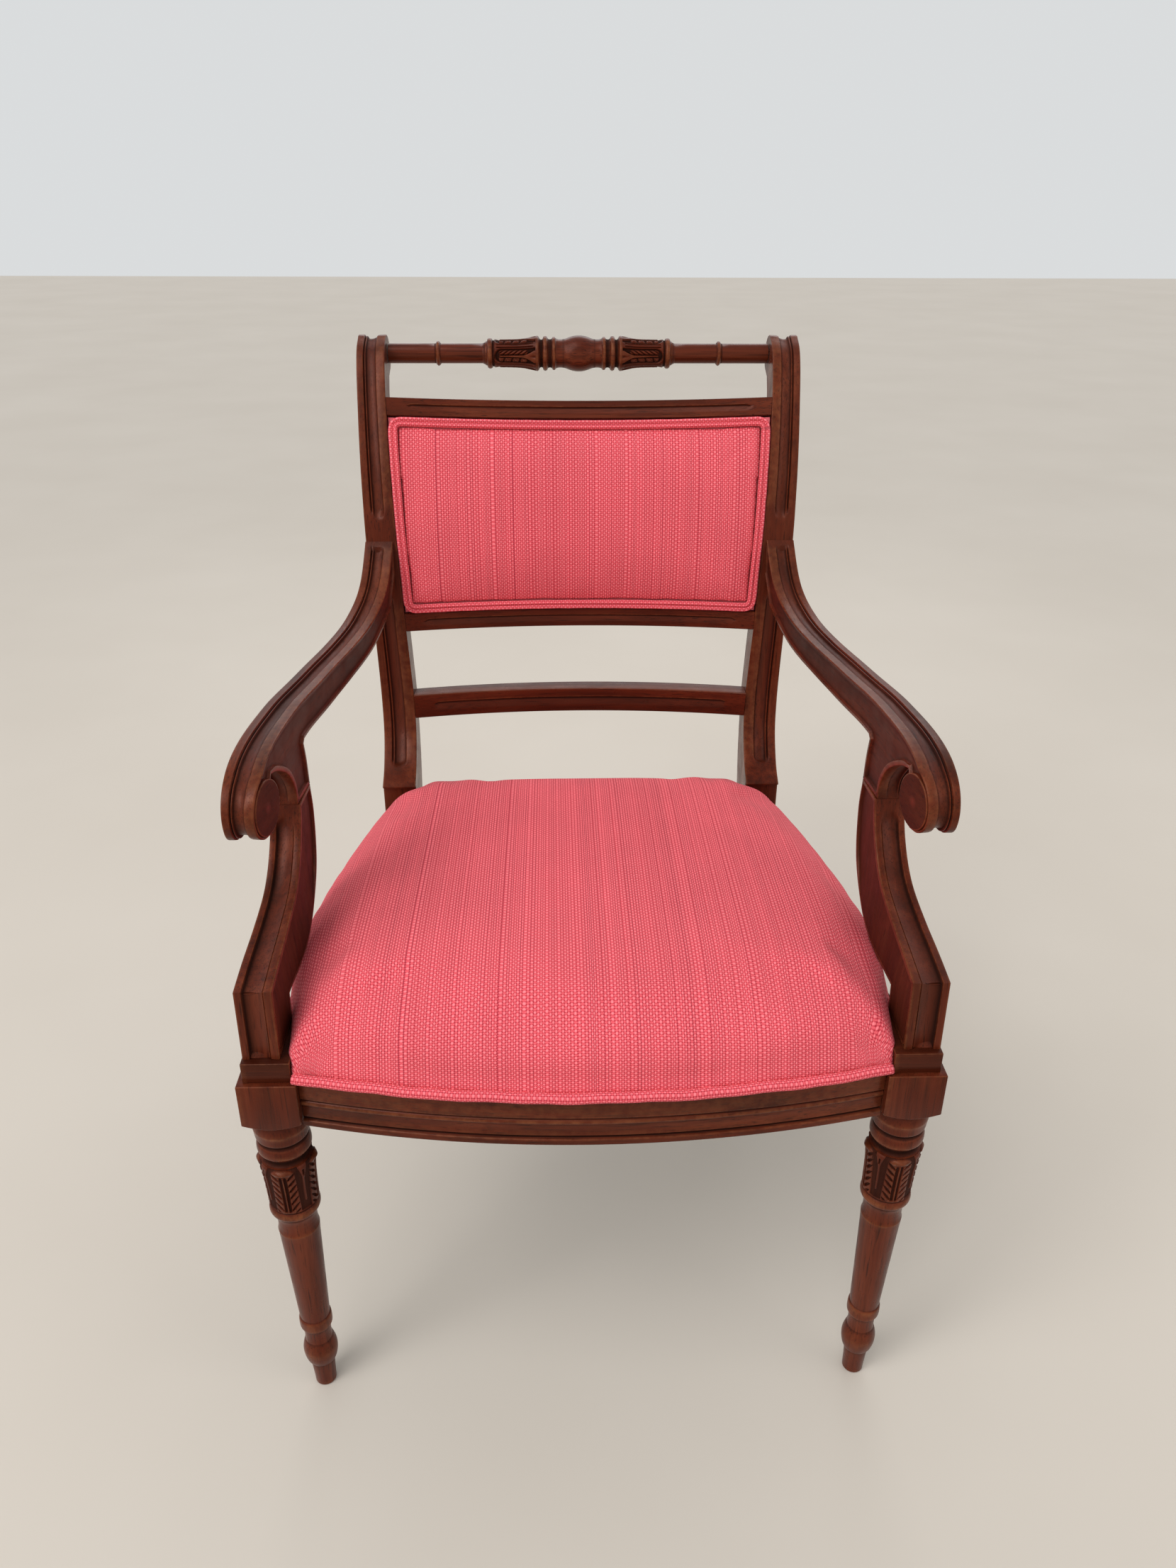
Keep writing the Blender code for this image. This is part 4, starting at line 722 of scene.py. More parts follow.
def thinned(rows, slack=0.000012):
    """The same line without the points that lie within slack of it."""
    if len(rows) < 3:
        return rows
    scaled = rows * (1, 1, 0.0006)
    run = scaled[-1] - scaled[0]
    length = np.linalg.norm(run)
    away = scaled - scaled[0]
    off = np.linalg.norm(away - (away @ run / length**2)[:, None] * run, axis=1)
    worst = int(np.argmax(off))
    if off[worst] < slack and np.ptp(rows[:, 1]) < 0.012:
        return rows[[0, -1]]
    if off[worst] < slack:
        worst = len(rows) // 2
    return np.vstack([thinned(rows[: worst + 1], slack)[:-1], thinned(rows[worst:], slack)])


def lathe(name, profile, place, material, carve=None, steps=96):
    """Revolves (radius, place, wear and painted shading) rows. carve may lower points: it takes the angle and
    the place in metres, and gives the depth in metres and the wear and painted shading there. place maps
    local points to the chair."""
    angles = np.linspace(0, 2 * pi, steps, endpoint=False)
    radius = np.repeat(profile[:, 0:1], steps, 1)
    wear_and_shading = np.repeat(profile[:, 2:3], steps, 1)
    if carve:
        depth, carved = carve(angles[None, :], profile[:, 1:2], radius)
        radius = radius - depth
        wear_and_shading = np.clip(wear_and_shading + carved, -1, 1)
    points = np.stack([radius * np.cos(angles), radius * np.sin(angles),
                       np.repeat(profile[:, 1:2], steps, 1)], -1)
    points = points.reshape(-1, 3)
    faces = strip_faces(len(profile), steps)
    ends = [(0, profile[0, 1]), (len(profile) - 1, profile[-1, 1])]
    extra = []
    for row, level in ends:
        centre = len(points) + len(extra)
        extra.append((0, 0, level))
        faces += [(row * steps + i, row * steps + (i + 1) % steps, centre) for i in range(steps)]
    points = place(np.vstack([points, extra]))
    return new_object(name, points, faces, material, {"wear_and_shading": np.r_[wear_and_shading.ravel(), 0, 0]},
                      sharp=40)


def step_up(value, at, width):
    return ease((value - at) / width + 0.5)


def band(value, low, high, width):
    """1 between low and high, with soft edges."""
    return step_up(value, low, width) * (1 - step_up(value, high, width))


def fold(angles, count, start=0.0):
    """Angle from the nearest of count equal repeats, in radians."""
    span = 2 * pi / count
    return (angles - start + span / 2) % span - span / 2


def leaf_collar(angles, level, radius):
    """Four leaves round the top of a front leg, with darts between them."""
    top, bottom = 0.2896, 0.2392
    s = (top - level) / (top - bottom)
    on = band(s, 0.0, 1.0, 0.02)
    a = fold(angles, 4, -pi / 2) * 0.0215 * 1000
    b = s * 50.4
    half = 11.4 * np.sqrt(np.clip(1 - np.clip((8.5 - b) / 8.3, 0, 1) ** 2, 0, 1))
    half = np.minimum(half, 9.4 + 0.045 * b)
    leaf = step_up(half - np.abs(a), 0.0, 0.7) * step_up(b, 0.5, 0.6)
    dome = 0.75 * (1 - np.clip(np.abs(a) / 12.0, 0, 1) ** 2)
    tip = 2.1 * np.exp(-(((b - 3.4) / 2.2) ** 2) - (a / 5.2) ** 2)
    under_tip = 1.1 * np.exp(-(((b - 6.9) / 1.4) ** 2) - (a / 4.2) ** 2)
    flute = band(np.abs(a), 0.75, 2.95, 0.45) * step_up(b, 8.0 + 0.9 * (np.abs(a) - 1.8) ** 2,
                                                        0.8) * (1 - step_up(b, 49.2, 0.6))
    run = b + 1.10 * (np.abs(a) - 3.6)
    phase = (run - 7.5) / 7.2
    near = np.abs((phase - np.floor(phase)) - 0.5)
    grow = np.clip((np.abs(a) - 3.4) / 6.8, 0, 1)
    width = 0.22 * np.sin(pi * np.clip(0.10 + 0.84 * grow, 0, 1)) + 0.03
    cuts = step_up(width - near, 0.0, 0.07) * band(np.abs(a), 3.8, 10.6, 0.5) * band(run, 7.5, 56.0, 0.5)
    d = np.abs(fold(angles, 4, -pi / 4) * 0.0215 * 1000)
    stem = 0.85 + 3.6 * np.clip(1 - b / 15.0, 0, 1) ** 1.5
    dart = step_up(stem - d, 0.0, 0.6) * (1 - step_up(b + d, 41.0, 1.2))
    slot = band(b, 4.5, 11.0, 1.0) * (1 - step_up(d, 0.75 - 0.04 * (b - 4.5), 0.4))
    height = leaf * (0.9 + dome) + tip * step_up(b, 1.0, 0.8) - leaf * under_tip
    height = height - leaf * 2.3 * flute - leaf * 2.0 * cuts
    height = np.maximum(height, np.maximum(-0.5, dart * (1.25 - 1.5 * slot)))
    depth = (1.35 - height) * 0.001 * on
    # Darker in the carving's hollows (painted shade with dark glaze) and lighter on the leaves' raised parts
    # (painted highlight with wear).
    dark = np.clip((0.75 - height) / 0.9, 0, 1)
    edge = np.clip((height - 0.95) / 0.8, 0, 1) * leaf
    return depth, on * (0.55 * edge - 1.0 * dark)


def place_leg(side):
    lean = (0.2615 - 0.2545) / 0.338

    def place(points):
        x = side * (0.2545 + lean * points[:, 2]) + points[:, 0]
        return np.stack([x, FOOT_Y + points[:, 1], points[:, 2]], 1)

    return place


def leg_profiles():
    """The turned leg above its carved collar, the collar, and the leg below it."""
    # Third values: above 0 lighter on beads and arrises (painted highlight with wear), below 0 darker in
    # grooves (painted shade with dark glaze).
    return [
        profile_of([(0.0193, 0.3450), (0.0193, 0.3352)], [(0.0193, 0.3352, -0.5), (0.0203, 0.3340),
                                                          (0.0218, 0.3318), (0.0229, 0.3290),
                   (0.0235, 0.3262, 0.3), (0.0236, 0.3248, 1.0)],
                   [(0.0235, 0.3243, 0.9), (0.0232, 0.3215, 0.1), (0.0229, 0.3185), (0.0227, 0.3160, 0.1),
                    (0.0222, 0.3146, -0.2)],
                   [(0.0222, 0.3146, -0.7), (0.0206, 0.3132, -1.0), (0.0204, 0.3118, -1.0),
                    (0.0212, 0.3100, -0.6)],
                   [(0.0216, 0.3092, 0.2), (0.0224, 0.3076), (0.0228, 0.3050), (0.0229, 0.3025, 0.5),
                    (0.0228, 0.3012, 1.0)],
                   [(0.0227, 0.3006, 0.8), (0.0212, 0.2982, -0.3), (0.0190, 0.2960, -0.8),
                    (0.0178, 0.2938, -1.0), (0.0180, 0.2922, -1.0),
                    (0.0192, 0.2904, -0.7)],
                   [(0.0200, 0.2901, -0.3), (0.0216, 0.2898, 0.3)], gap=0.0007),
        smooth([(*p, 0) for p in ((0.0220, 0.2896), (0.0234, 0.2866), (0.0233, 0.2800), (0.0224, 0.2700),
                                  (0.0219, 0.2600), (0.0215, 0.2480), (0.0213, 0.2389))], 0.00042),
        profile_of([(0.0203, 0.2388, -0.8), (0.0197, 0.2376, -1.0), (0.0205, 0.2366, -0.4)],
                   [(0.0205, 0.2366), (0.0214, 0.2352, 0.5), (0.0219, 0.2330, 0.9), (0.0218, 0.2306, 0.7),
                    (0.0210, 0.2286, 0.1)],
                   [(0.0205, 0.2280, -0.8), (0.0190, 0.2258, -0.4), (0.0178, 0.2225), (0.0172, 0.2190),
                    (0.0170, 0.2150)],
                   [(0.0170, 0.2150), (0.0171, 0.2105), (0.0176, 0.2070, 0.2), (0.0180, 0.2055, 0.8)],
                   [(0.0180, 0.2052, 0.7), (0.0178, 0.2020, 0.1), (0.0172, 0.1900), (0.0155, 0.1450),
                    (0.0137, 0.0950), (0.0134, 0.0915, -0.4)],
                   [(0.0134, 0.0912, -0.9), (0.0141, 0.0903, 0.3), (0.0147, 0.0885, 0.8),
                    (0.0149, 0.0840, 0.5), (0.0147, 0.0795, 0.7),
                    (0.0139, 0.0780, 0.1)],
                   [(0.0136, 0.0776, -0.9), (0.0126, 0.0758, -0.3), (0.0122, 0.0720), (0.0121, 0.0660),
                    (0.0124, 0.0610, 0.1)],
                   [(0.0125, 0.0600, -0.5), (0.0136, 0.0570), (0.0150, 0.0520, 0.2), (0.0157, 0.0470, 0.5),
                    (0.0154, 0.0410, 0.2),
                    (0.0142, 0.0350), (0.0126, 0.0310, -0.2)],
                   [(0.0114, 0.0300, -0.8), (0.0110, 0.0285, -0.2), (0.0105, 0.0200), (0.0099, 0.0080),
                    (0.0097, 0.0012, 0.5)],
                   [(0.0097, 0.0012, 0.5), (0.0090, 0.0003, 0.6), (0.0080, 0.0)]),
    ]


def rounded_box(name, low, high, radius, material, clip=None, gap=0.004):
    """A block with worn edges, low and high as (x, distance, z).

    clip lifts its underside near the corners.
    """
    (x0, y0, z0), (x1, y1, z1) = low, high
    corners = []
    for cx, cy, start in ((x1, y1, 0), (x0, y1, 90), (x0, y0, 180), (x1, y0, 270)):
        cx += radius * (-1 if cx == x1 else 1)
        cy += radius * (-1 if cy == y1 else 1)
        corners.append([(cx + radius * cos(radians(start + a)),
                         cy + radius * sin(radians(start + a))) for a in (0, 30, 60, 90)])
    runs = []
    for i, corner in enumerate(corners):
        runs += [np.array(corner), even([corner[-1], corners[(i + 1) % 4][0]], gap)]
    outline, owner, _ = outline_of(*runs)
    normals = inward(outline)
    middle = outline.mean(0)

    def rise(points):
        return np.zeros(len(points)) if clip is None else clip(points - middle)

    rings, wear_and_shading_parts = [], []
    # Rounded edges and upright corners are painted lighter: painted highlight with wear.
    for a in (90, 60, 30, 0):
        ring = outline + normals * radius * (1 - cos(radians(a)))
        rings.append(np.c_[ring, z1 - radius * (1 - sin(radians(a))) + 0 * ring[:, 0]])
        wear_and_shading_parts.append(np.full(len(ring), 0.55 if a in (30, 60) else 0.1))
    rings.append(np.c_[outline, (z0 + z1) / 2 + 0 * outline[:, 0]])
    wear_and_shading_parts.append(np.zeros(len(outline)))
    for a in (0, 30, 60, 90):
        ring = outline + normals * radius * (1 - cos(radians(a)))
        rings.append(np.c_[ring, z0 + radius * (1 - sin(radians(a))) + rise(outline)])
        wear_and_shading_parts.append(np.full(len(ring), 0.45 if a in (30, 60) else 0.0))
    count = len(outline)
    corner = np.isin(owner, (0, 2, 4, 6)) * 0.45
    wear_and_shading_parts = [np.clip(w + corner, 0, 1) for w in wear_and_shading_parts]
    faces = strip_faces(len(rings), count)
    vertices, total = list(rings), len(rings) * count
    for ring, level in ((rings[0], z1), (rings[-1], z0)):
        points, triangles = filled(ring[:, :2], gap * 1.5)
        z = np.full(len(points), level) + (rise(points) if level == z0 else 0)
        z[:count] = ring[:, 2]
        vertices.append(np.c_[points, z])
        wear_and_shading_parts.append(np.zeros(len(points)))
        faces += [tuple(total + i for i in t) for t in triangles]
        total += len(points)
    vertices = np.vstack(vertices)
    vertices[:, 1] += FOOT_Y
    return new_object(name, vertices, faces, material, {"wear_and_shading": np.concatenate(wear_and_shading_parts)}, merge=2e-6,
                      sharp=35)


def front_leg(side_name, side, wood, shaded_wood):
    top, collar, shaft = leg_profiles()
    place = place_leg(side)
    turning = lathe(f"leg_turning_{side_name}", shaft, place, wood, steps=80)
    lathe(f"leg_rings_{side_name}", top, place, wood, steps=88)
    lathe(f"leg_collar_{side_name}", collar, place, wood, leaf_collar, 312)
    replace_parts(turning, f"front_leg_{side_name}")
    xs = sorted((side * 0.2375, side * 0.2855))

    def shoulder(offset):
        """The underside is turned off at the corners of the square."""
        return 0.50 * np.maximum(0.0, np.hypot(offset[:, 0], offset[:, 1]) - 0.0235)

    rounded_box(f"leg_block_{side_name}", (xs[0], -0.027, 0.3380), (xs[1], 0.021, 0.3840), 0.0010, wood,
                clip=shoulder)
    xs = sorted((side * 0.2415, side * 0.2805))
    # The plinths take a darker copy of the wood: painted shade.
    rounded_box(f"leg_plinth_{side_name}", (xs[0], -0.022, 0.3838), (xs[1], 0.037, 0.4031), 0.0008, shaded_wood)


# Third values: above 0 lighter on beads (painted highlight with wear), below 0 darker in grooves (painted
# shade with dark glaze).
CREST_RUNS = (
    [(0.0181, 0.0), (0.0180, 0.003), (0.0174, 0.0065), (0.0164, 0.0100), (0.0151, 0.0135),
     (0.0144, 0.0160, -0.2)],
    [(0.0144, 0.0162, -0.5), (0.0142, 0.0185), (0.0143, 0.0215), (0.0148, 0.0238, -0.1),
     (0.0160, 0.0252, 0.5)],
    [(0.0165, 0.0254, 0.9), (0.0167, 0.0266, 0.9), (0.0165, 0.0278, 0.9)],
    [(0.0160, 0.0280, 0.2), (0.0146, 0.0290, -0.8), (0.0141, 0.0306, -0.9), (0.0144, 0.0324, -0.7)],
    [(0.0154, 0.0332, 0.0), (0.0168, 0.0340, 0.5), (0.0175, 0.0357, 0.9), (0.0168, 0.0375, 0.5),
     (0.0154, 0.0382, 0.0)],
    [(0.0142, 0.0386, -0.9), (0.0138, 0.0398, -1.0), (0.0142, 0.0412, -0.8)],
    [(0.0150, 0.0418, -0.3), (0.0168, 0.0427, 0.3), (0.0177, 0.0441, 0.6), (0.0174, 0.0458, 0.2)],
)


def crest_parts():
    """Half of the crest rail's profile: the middle, the carved sleeve and the rod."""
    sleeve = [(*p, 0) for p in ((0.0174, 0.0458), (0.0159, 0.0530), (0.0149, 0.0600), (0.0144, 0.0680),
                                (0.0142, 0.0780), (0.0141, 0.0892))]
    # Third values as above: painted highlight with wear above 0, painted shade with dark glaze below 0.
    end = (
        [(0.0136, 0.0896, -0.4), (0.0130, 0.0906, -1.0), (0.0131, 0.0914, -0.9)],
        [(0.0138, 0.0917, 0.1), (0.0148, 0.0925, 0.6), (0.0153, 0.0943, 0.9), (0.0148, 0.0961, 0.6),
         (0.0138, 0.0970, 0.1)],
        [(0.0124, 0.0972, -0.6), (0.0121, 0.0980, 0.3), (0.0119, 0.0990, 0.5)],
        [(0.0112, 0.0992, -0.5), (0.0106, 0.1006, -0.2), (0.0100, 0.1022)],
        [(0.0100, 0.1022), (0.0100, 0.1462)],
        [(0.0100, 0.1464, -0.8), (0.0110, 0.1470, 0.2), (0.0122, 0.1482, 0.8), (0.0124, 0.1490, 0.9),
         (0.0122, 0.1498, 0.8), (0.0110, 0.1510, 0.2)],
        [(0.0100, 0.1516, -0.8), (0.0100, 0.1530)], [(0.0100, 0.1530), (0.0100, 0.2016)],
    )
    return profile_of(*CREST_RUNS, gap=0.0007), smooth(sleeve, 0.00042), profile_of(*end, gap=0.0007)


def leaf_sleeve(angles, level, radius):
    """Four leaves along each carved sleeve of the crest rail, with flutes between them."""
    b = (np.abs(level) - 0.0455) * 1000
    on = band(b, 0.4, 43.4, 0.6)
    a = -fold(angles, 4, -pi / 2 + 0.10) * 14.6
    arms = np.abs(a)
    reach = np.where(b > 35.0, np.hypot(a, b - 35.0), arms)
    outline = np.exp(-(((reach - 7.6) / 0.85) ** 2))
    inside = step_up(7.2 - reach, 0.0, 0.7)
    vein_half = 0.75 + 0.5 * np.clip((32 - b) / 22, 0, 1) + 4.6 * np.clip((13.0 - b) / 11.0, 0, 1) ** 1.3
    vein = step_up(vein_half - arms, 0.0, 0.6) * (1 - step_up(b, 38.5, 1.5))
    notch = np.exp(-((a / 1.0) ** 2)) * np.clip((8.0 - b) / 6, 0, 1)
    upper = np.abs(np.sin(pi * (b + 1.30 * (arms - 4.2)) / 5.3))
    lower = np.abs(np.sin(pi * (b - 0.30 * (arms - 4.2)) / 8.4))
    lobe = np.where(a > 0, np.clip(upper * 1.25, 0, 1) ** 1.1, np.clip(lower * 1.45, 0, 1) ** 1.2)
    ring = np.exp(-((np.hypot((arms - 4.4) / 1.5, (lower - 1.0) * 3.2) - 0.75) / 0.28) ** 2) * (a <= 0)
    lobe = lobe * np.clip(1 - ((arms - 4.5) / 2.9) ** 2, 0, 1) ** 0.5 - 0.35 * ring
    start = band(b, 9.0, 39.0, 2.0)
    cleft = np.exp(-(((arms - vein_half - 0.5) / 0.5) ** 2)) * (1 - step_up(b, 37.0, 2.0))
    leaf = inside * np.maximum(lobe * start * 1.15, vein * (1.30 - 0.9 * notch)) - 0.5 * cleft * inside
    d = np.abs(fold(angles, 4, -pi / 4 + 0.10) * 14.6)
    ridges = 1.25 - 1.15 * np.exp(-(((d - 1.7) / 0.55) ** 2)) * band(b, 3.0, 41.5, 2.0)
    height = np.where(reach > 7.6, ridges, leaf) * (1 - outline) - 0.25 * outline
    depth = (1.25 - height) * 0.00165 * on
    # Darker in the carving's hollows (painted shade with dark glaze) and lighter on raised lobes (painted
    # highlight with wear).
    dark = np.clip((0.66 - height) / 0.6, 0, 1)
    return depth, on * (0.35 * np.clip((height - 1.0) / 0.3, 0, 1) * (reach < 7.6) - dark)


def crest_rail(wood):
    middle, sleeve, end = crest_parts()
    profile = np.vstack([middle[:0:-1] * (1, -1, 1), middle])

    def place(points):
        y, z = points[:, 1], points[:, 0]
        return np.stack([points[:, 2], FOOT_Y + CREST[0] + y, CREST[1] - z], 1)

    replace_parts(lathe("crest_turning", profile, place, wood, steps=96), "crest_rail")
    for side_name, side in SIDES.items():
        lathe(f"crest_rod_{side_name}", end * (1, side, 1), place, wood, steps=72)
        lathe(f"crest_sleeve_{side_name}", sleeve * (1, side, 1), place, wood, leaf_sleeve, 264)


# ---- rails --------------------------------------------------------------------------
BACK_BOW = 0.018


def swept(name, rings, wear_and_shading_parts, material, sharp=32, weave=None):
    """A bar whose equal rings of points follow each other, closed by flat ends."""
    count, rows = len(rings[0]), len(rings)
    faces = strip_faces(rows, count)
    faces += [tuple(range(count)), tuple(range((rows - 1) * count, rows * count))]
    attributes = {"wear_and_shading": np.concatenate(wear_and_shading_parts)}
    if weave is not None:
        attributes["weave"] = weave
    return new_object(name, np.vstack(rings), faces, material, attributes, sharp=sharp)


def rounded_section(corners, radius=0.0009):
    """A closed polygon with worn corners: rows of (a, b, wear and painted shading), the corners lighter as
    wear with painted highlight.
    """
    rows = []
    corners = [np.array(c, float) for c in corners]
    for i, corner in enumerate(corners):
        before = corners[i - 1] - corner
        after = corners[(i + 1) % len(corners)] - corner
        before /= np.linalg.norm(before)
        after /= np.linalg.norm(after)
        for t in (0.0, 0.33, 0.67, 1.0):
            bend = 0.30 * sin(pi * t)
            p = corner + radius * ((1 - t) * (1 - bend) * before + t * (1 - bend) * after)
            rows.append((*p, 0.6 if 0 < t < 1 else 0.2))
    return rows


def back_rail(node, height, rake, face, others, wood):
    """A bowed back rail; face is the visible height of its front, negative when it hangs down."""
    rake = radians(rake)
    shares = np.linspace(0.03, 0.97, 34)
    xs = stile_inner(height) - 0.0004
    rings, wear_and_shading_parts = [], []
    for share in np.linspace(-1, 1, 161):
        gap = xs * (1 - abs(share))
        stop = 0.021
        shut = np.clip((stop + 0.006 - gap) / 0.006, 0, 1)
        curl = 1 - sqrt(max(0.0, 1 - shut**2))
        down = shares if face < 0 else 1 - shares
        top = 0.37 + 0.13 * curl
        low = 0.72 - 0.16 * curl
        inside = np.clip((down - top) / max(0.01, low - top), 0, 1)
        depth = 0.0017 * (1 - inside) ** 1.1 * step_up(down, top, 0.035) * (down < low) * (gap > stop)
        # A lighter line along the channel's top edge and a darker band just inside it: painted highlight with
        # wear, and painted shade.
        wear_and_shading = 0.9 * np.exp(-(((down - top + 0.025) / 0.025) ** 2)) - 0.9 * np.exp(-(((down - top
                                                                                       - 0.035) / 0.04) ** 2))
        wear_and_shading = wear_and_shading * (gap > stop)
        ring = [(d, s * abs(face) * np.sign(face), w) for d, s, w in zip(depth, shares, wear_and_shading)]
        ring = ring + others
        ring = np.array(ring)
        back = ring[:, 0] + BACK_BOW * (1 - share**2) + 0.0003
        z = height - back * sin(rake) + ring[:, 1] * cos(rake)
        y = stile_front(height) + back * cos(rake) + ring[:, 1] * sin(rake)
        x = share * (stile_inner(z) - 0.0003)
        rings.append(np.stack([x, FOOT_Y + y, z], 1))
        wear_and_shading_parts.append(ring[:, 2])
    obj = swept(f"{node}_wood", rings, wear_and_shading_parts, wood)
    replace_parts(obj, node)


def back_rails(wood):
    f = 0.0185
    upper = rounded_section([(0, -f), (0.010, -f), (0.010, -0.030), (0.022, -0.030), (0.022, 0), (0, 0)])
    upper = upper[2:-2]
    back_rail("upper_back_rail", 0.8245, 21, -f, upper, wood)
    f = 0.020
    lower = rounded_section([(0, f), (0.010, f), (0.010, 0.032), (0.022, 0.032), (0.022, 0), (0, 0)])[2:-2]
    back_rail("lower_back_rail", 0.5840, 1.5, f, lower, wood)
    f = 0.0275
    stay = rounded_section([(0, f), (0.022, f), (0.022, 0), (0, 0)])[2:-2]
    back_rail("stay_rail", 0.4825, 0, f, stay, wood)


def front_face(x):
    return -0.048 + 0.028 * (np.asarray(x) / 0.2375) ** 2


def front_rail(wood):
    # Third values: above 0 lighter on beads and the top flat (painted highlight with wear), below 0 darker in
    # grooves (painted shade with dark glaze).
    runs = profile_of(
        [(0.0010, 0.38345, 0.5), (0.0002, 0.3831, 0.6), (0.0, 0.3822, 0.2)],
        [(0.0, 0.3820, 0.35), (0.0, 0.3662, 0.35)],
        [(0.0, 0.3660, 0.5), (0.0003, 0.3652, 0.6), (0.0022, 0.3645, -0.9), (0.0024, 0.3636, -1.0)],
        [(0.0022, 0.3630, -0.5), (0.0009, 0.3620, 0.4), (0.0003, 0.3603, 0.8), (0.0007, 0.3586, 0.5),
         (0.0020, 0.3575, -0.3)],
        [(0.0024, 0.3570, -0.9), (0.0027, 0.3560, -0.1), (0.0030, 0.3500, 0.15), (0.0026, 0.3456, 0.3)],
        [(0.0026, 0.3452, 0.4), (0.0046, 0.3443, -1.0), (0.0050, 0.3434, -1.0), (0.0040, 0.3426, -0.8)],
        [(0.0018, 0.3421, 0.6), (0.0010, 0.3414, 0.5), (0.0009, 0.3404, 0.1), (0.0009, 0.3374, 0.1),
         (0.0013, 0.3364, 0.6), (0.0021, 0.3360, 0.5)],
        gap=0.0006)
    others = np.array(rounded_section([(0.0, 0.336), (0.024, 0.336), (0.024, 0.3835), (0.0, 0.3835)])[4:-4])
    section = np.vstack([runs, others])
    rings = []
    for x in np.linspace(-0.2372, 0.2372, 121):
        rings.append(np.stack([x + 0 * section[:, 0], FOOT_Y + front_face(x) + section[:, 0], section[:, 1]],
                              1))
    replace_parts(swept("front_rail_wood", rings, [section[:, 2]] * len(rings), wood), "front_seat_rail")


def softened(node, name, material, width=0.0008):
    """A copy of a plain solid with its edges eased."""
    mesh = NODES[node].data.copy()
    bm = bmesh.new()
    bm.from_mesh(mesh)
    bmesh.ops.remove_doubles(bm, verts=bm.verts, dist=1e-6)
    bmesh.ops.dissolve_limit(bm, angle_limit=radians(1), verts=bm.verts, edges=bm.edges)
    edges = [e for e in bm.edges if len(e.link_faces) == 2 and e.calc_face_angle(0) > radians(25)]
    bmesh.ops.bevel(bm, geom=edges, offset=width, segments=2, profile=0.6, affect="EDGES", clamp_overlap=True)
    bm.to_mesh(mesh)
    bm.free()
    mesh.materials.clear()
    mesh.materials.append(material)
    mesh.shade_smooth()
    mesh.set_sharp_from_angle(angle=radians(32))
    obj = bpy.data.objects.new(name, mesh)
    bpy.context.scene.collection.objects.link(obj)
    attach(obj, "root")
    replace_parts(obj, node)
    return obj


# ---- soft goods ---------------------------------------------------------------------
def simulated(obj, pinned, reach, pressure=4.0, frames=20, stiff=15.0):
    """Blows the closed cloth up from inside, holding the pinned points, and keeps the result."""
    mesh = obj.data
    rest = coordinates(mesh)
    group = obj.vertex_groups.new(name="held")
    group.add([int(i) for i in np.nonzero(pinned)[0]], 1.0, "ADD")
    cloth = obj.modifiers.new("cloth", "CLOTH")
    settings = cloth.settings
    settings.quality = 6
    settings.mass = 0.3
    settings.tension_stiffness = settings.compression_stiffness = settings.shear_stiffness = stiff
    settings.bending_stiffness = 0.5
    settings.use_pressure = True
    settings.uniform_pressure_force = pressure
    settings.effector_weights.gravity = 0
    settings.vertex_group_mass = "held"
    scene = bpy.context.scene
    scene.frame_start, scene.frame_end = 1, frames
    cloth.point_cache.frame_start, cloth.point_cache.frame_end = 1, frames
    for frame_number in range(1, frames + 1):
        scene.frame_set(frame_number)
    evaluated = obj.evaluated_get(bpy.context.evaluated_depsgraph_get())
    moved = coordinates(evaluated.data) - rest
    obj.modifiers.remove(cloth)
    scene.frame_set(1)
    length = np.linalg.norm(moved, axis=1)[:, None]
    moved *= np.minimum(1.0, reach / np.maximum(length, 1e-9))
    mesh.vertices.foreach_set("co", (rest + moved).astype(np.float32).ravel())
    mesh.update()


def coordinates(mesh):
    points = np.empty(len(mesh.vertices) * 3, np.float32)
    mesh.vertices.foreach_get("co", points)
    return points.reshape(-1, 3).astype(float)


def applied(obj, kind, **settings):
    """One modifier, applied to the mesh."""
    modifier = obj.modifiers.new(kind.lower(), kind)
    for key, value in settings.items():
        setattr(modifier, key, value)
    graph = bpy.context.evaluated_depsgraph_get()
    mesh = bpy.data.meshes.new_from_object(obj.evaluated_get(graph))
    obj.modifiers.clear()
    obj.data = mesh
    return obj


def relaxed(obj, rounds, free, strength=0.5):
    """Averages free points with their neighbours."""
    mesh = obj.data
    pairs = np.empty(len(mesh.edges) * 2, np.int32)
    mesh.edges.foreach_get("vertices", pairs)
    a, b = pairs.reshape(-1, 2).T
    points = coordinates(mesh)
    degree = np.bincount(np.r_[a, b], minlength=len(points))[:, None]
    for _ in range(rounds):
        total = np.zeros_like(points)
        np.add.at(total, a, points[b])
        np.add.at(total, b, points[a])
        points += strength * free[:, None] * (total / degree - points)
    mesh.vertices.foreach_set("co", points.astype(np.float32).ravel())
    mesh.update()


def set_weave(obj, values):
    layer = obj.data.attributes.get("weave") or obj.data.attributes.new("weave", "FLOAT_VECTOR", "POINT")
    layer.data.foreach_set("vector", np.asarray(values, np.float32).ravel())


def cloth_object(name, points, faces, material, weave=None, merge=0.0, sharp=0):
    return new_object(name, points, faces, material, None if weave is None else {"weave": weave},
                      sharp=sharp, merge=merge)


def distance_to(outline, points):
    """Distance of each point from a closed outline."""
    a, b = outline, np.roll(outline, -1, 0)
    best = np.full(len(points), 1e9)
    for p, q in zip(a, b):
        along = q - p
        t = np.clip(((points - p) @ along) / max(along @ along, 1e-12), 0, 1)
        best = np.minimum(best, np.hypot(*(points - p - t[:, None] * along).T))
    return best


SEAT_FOOT = 0.3843


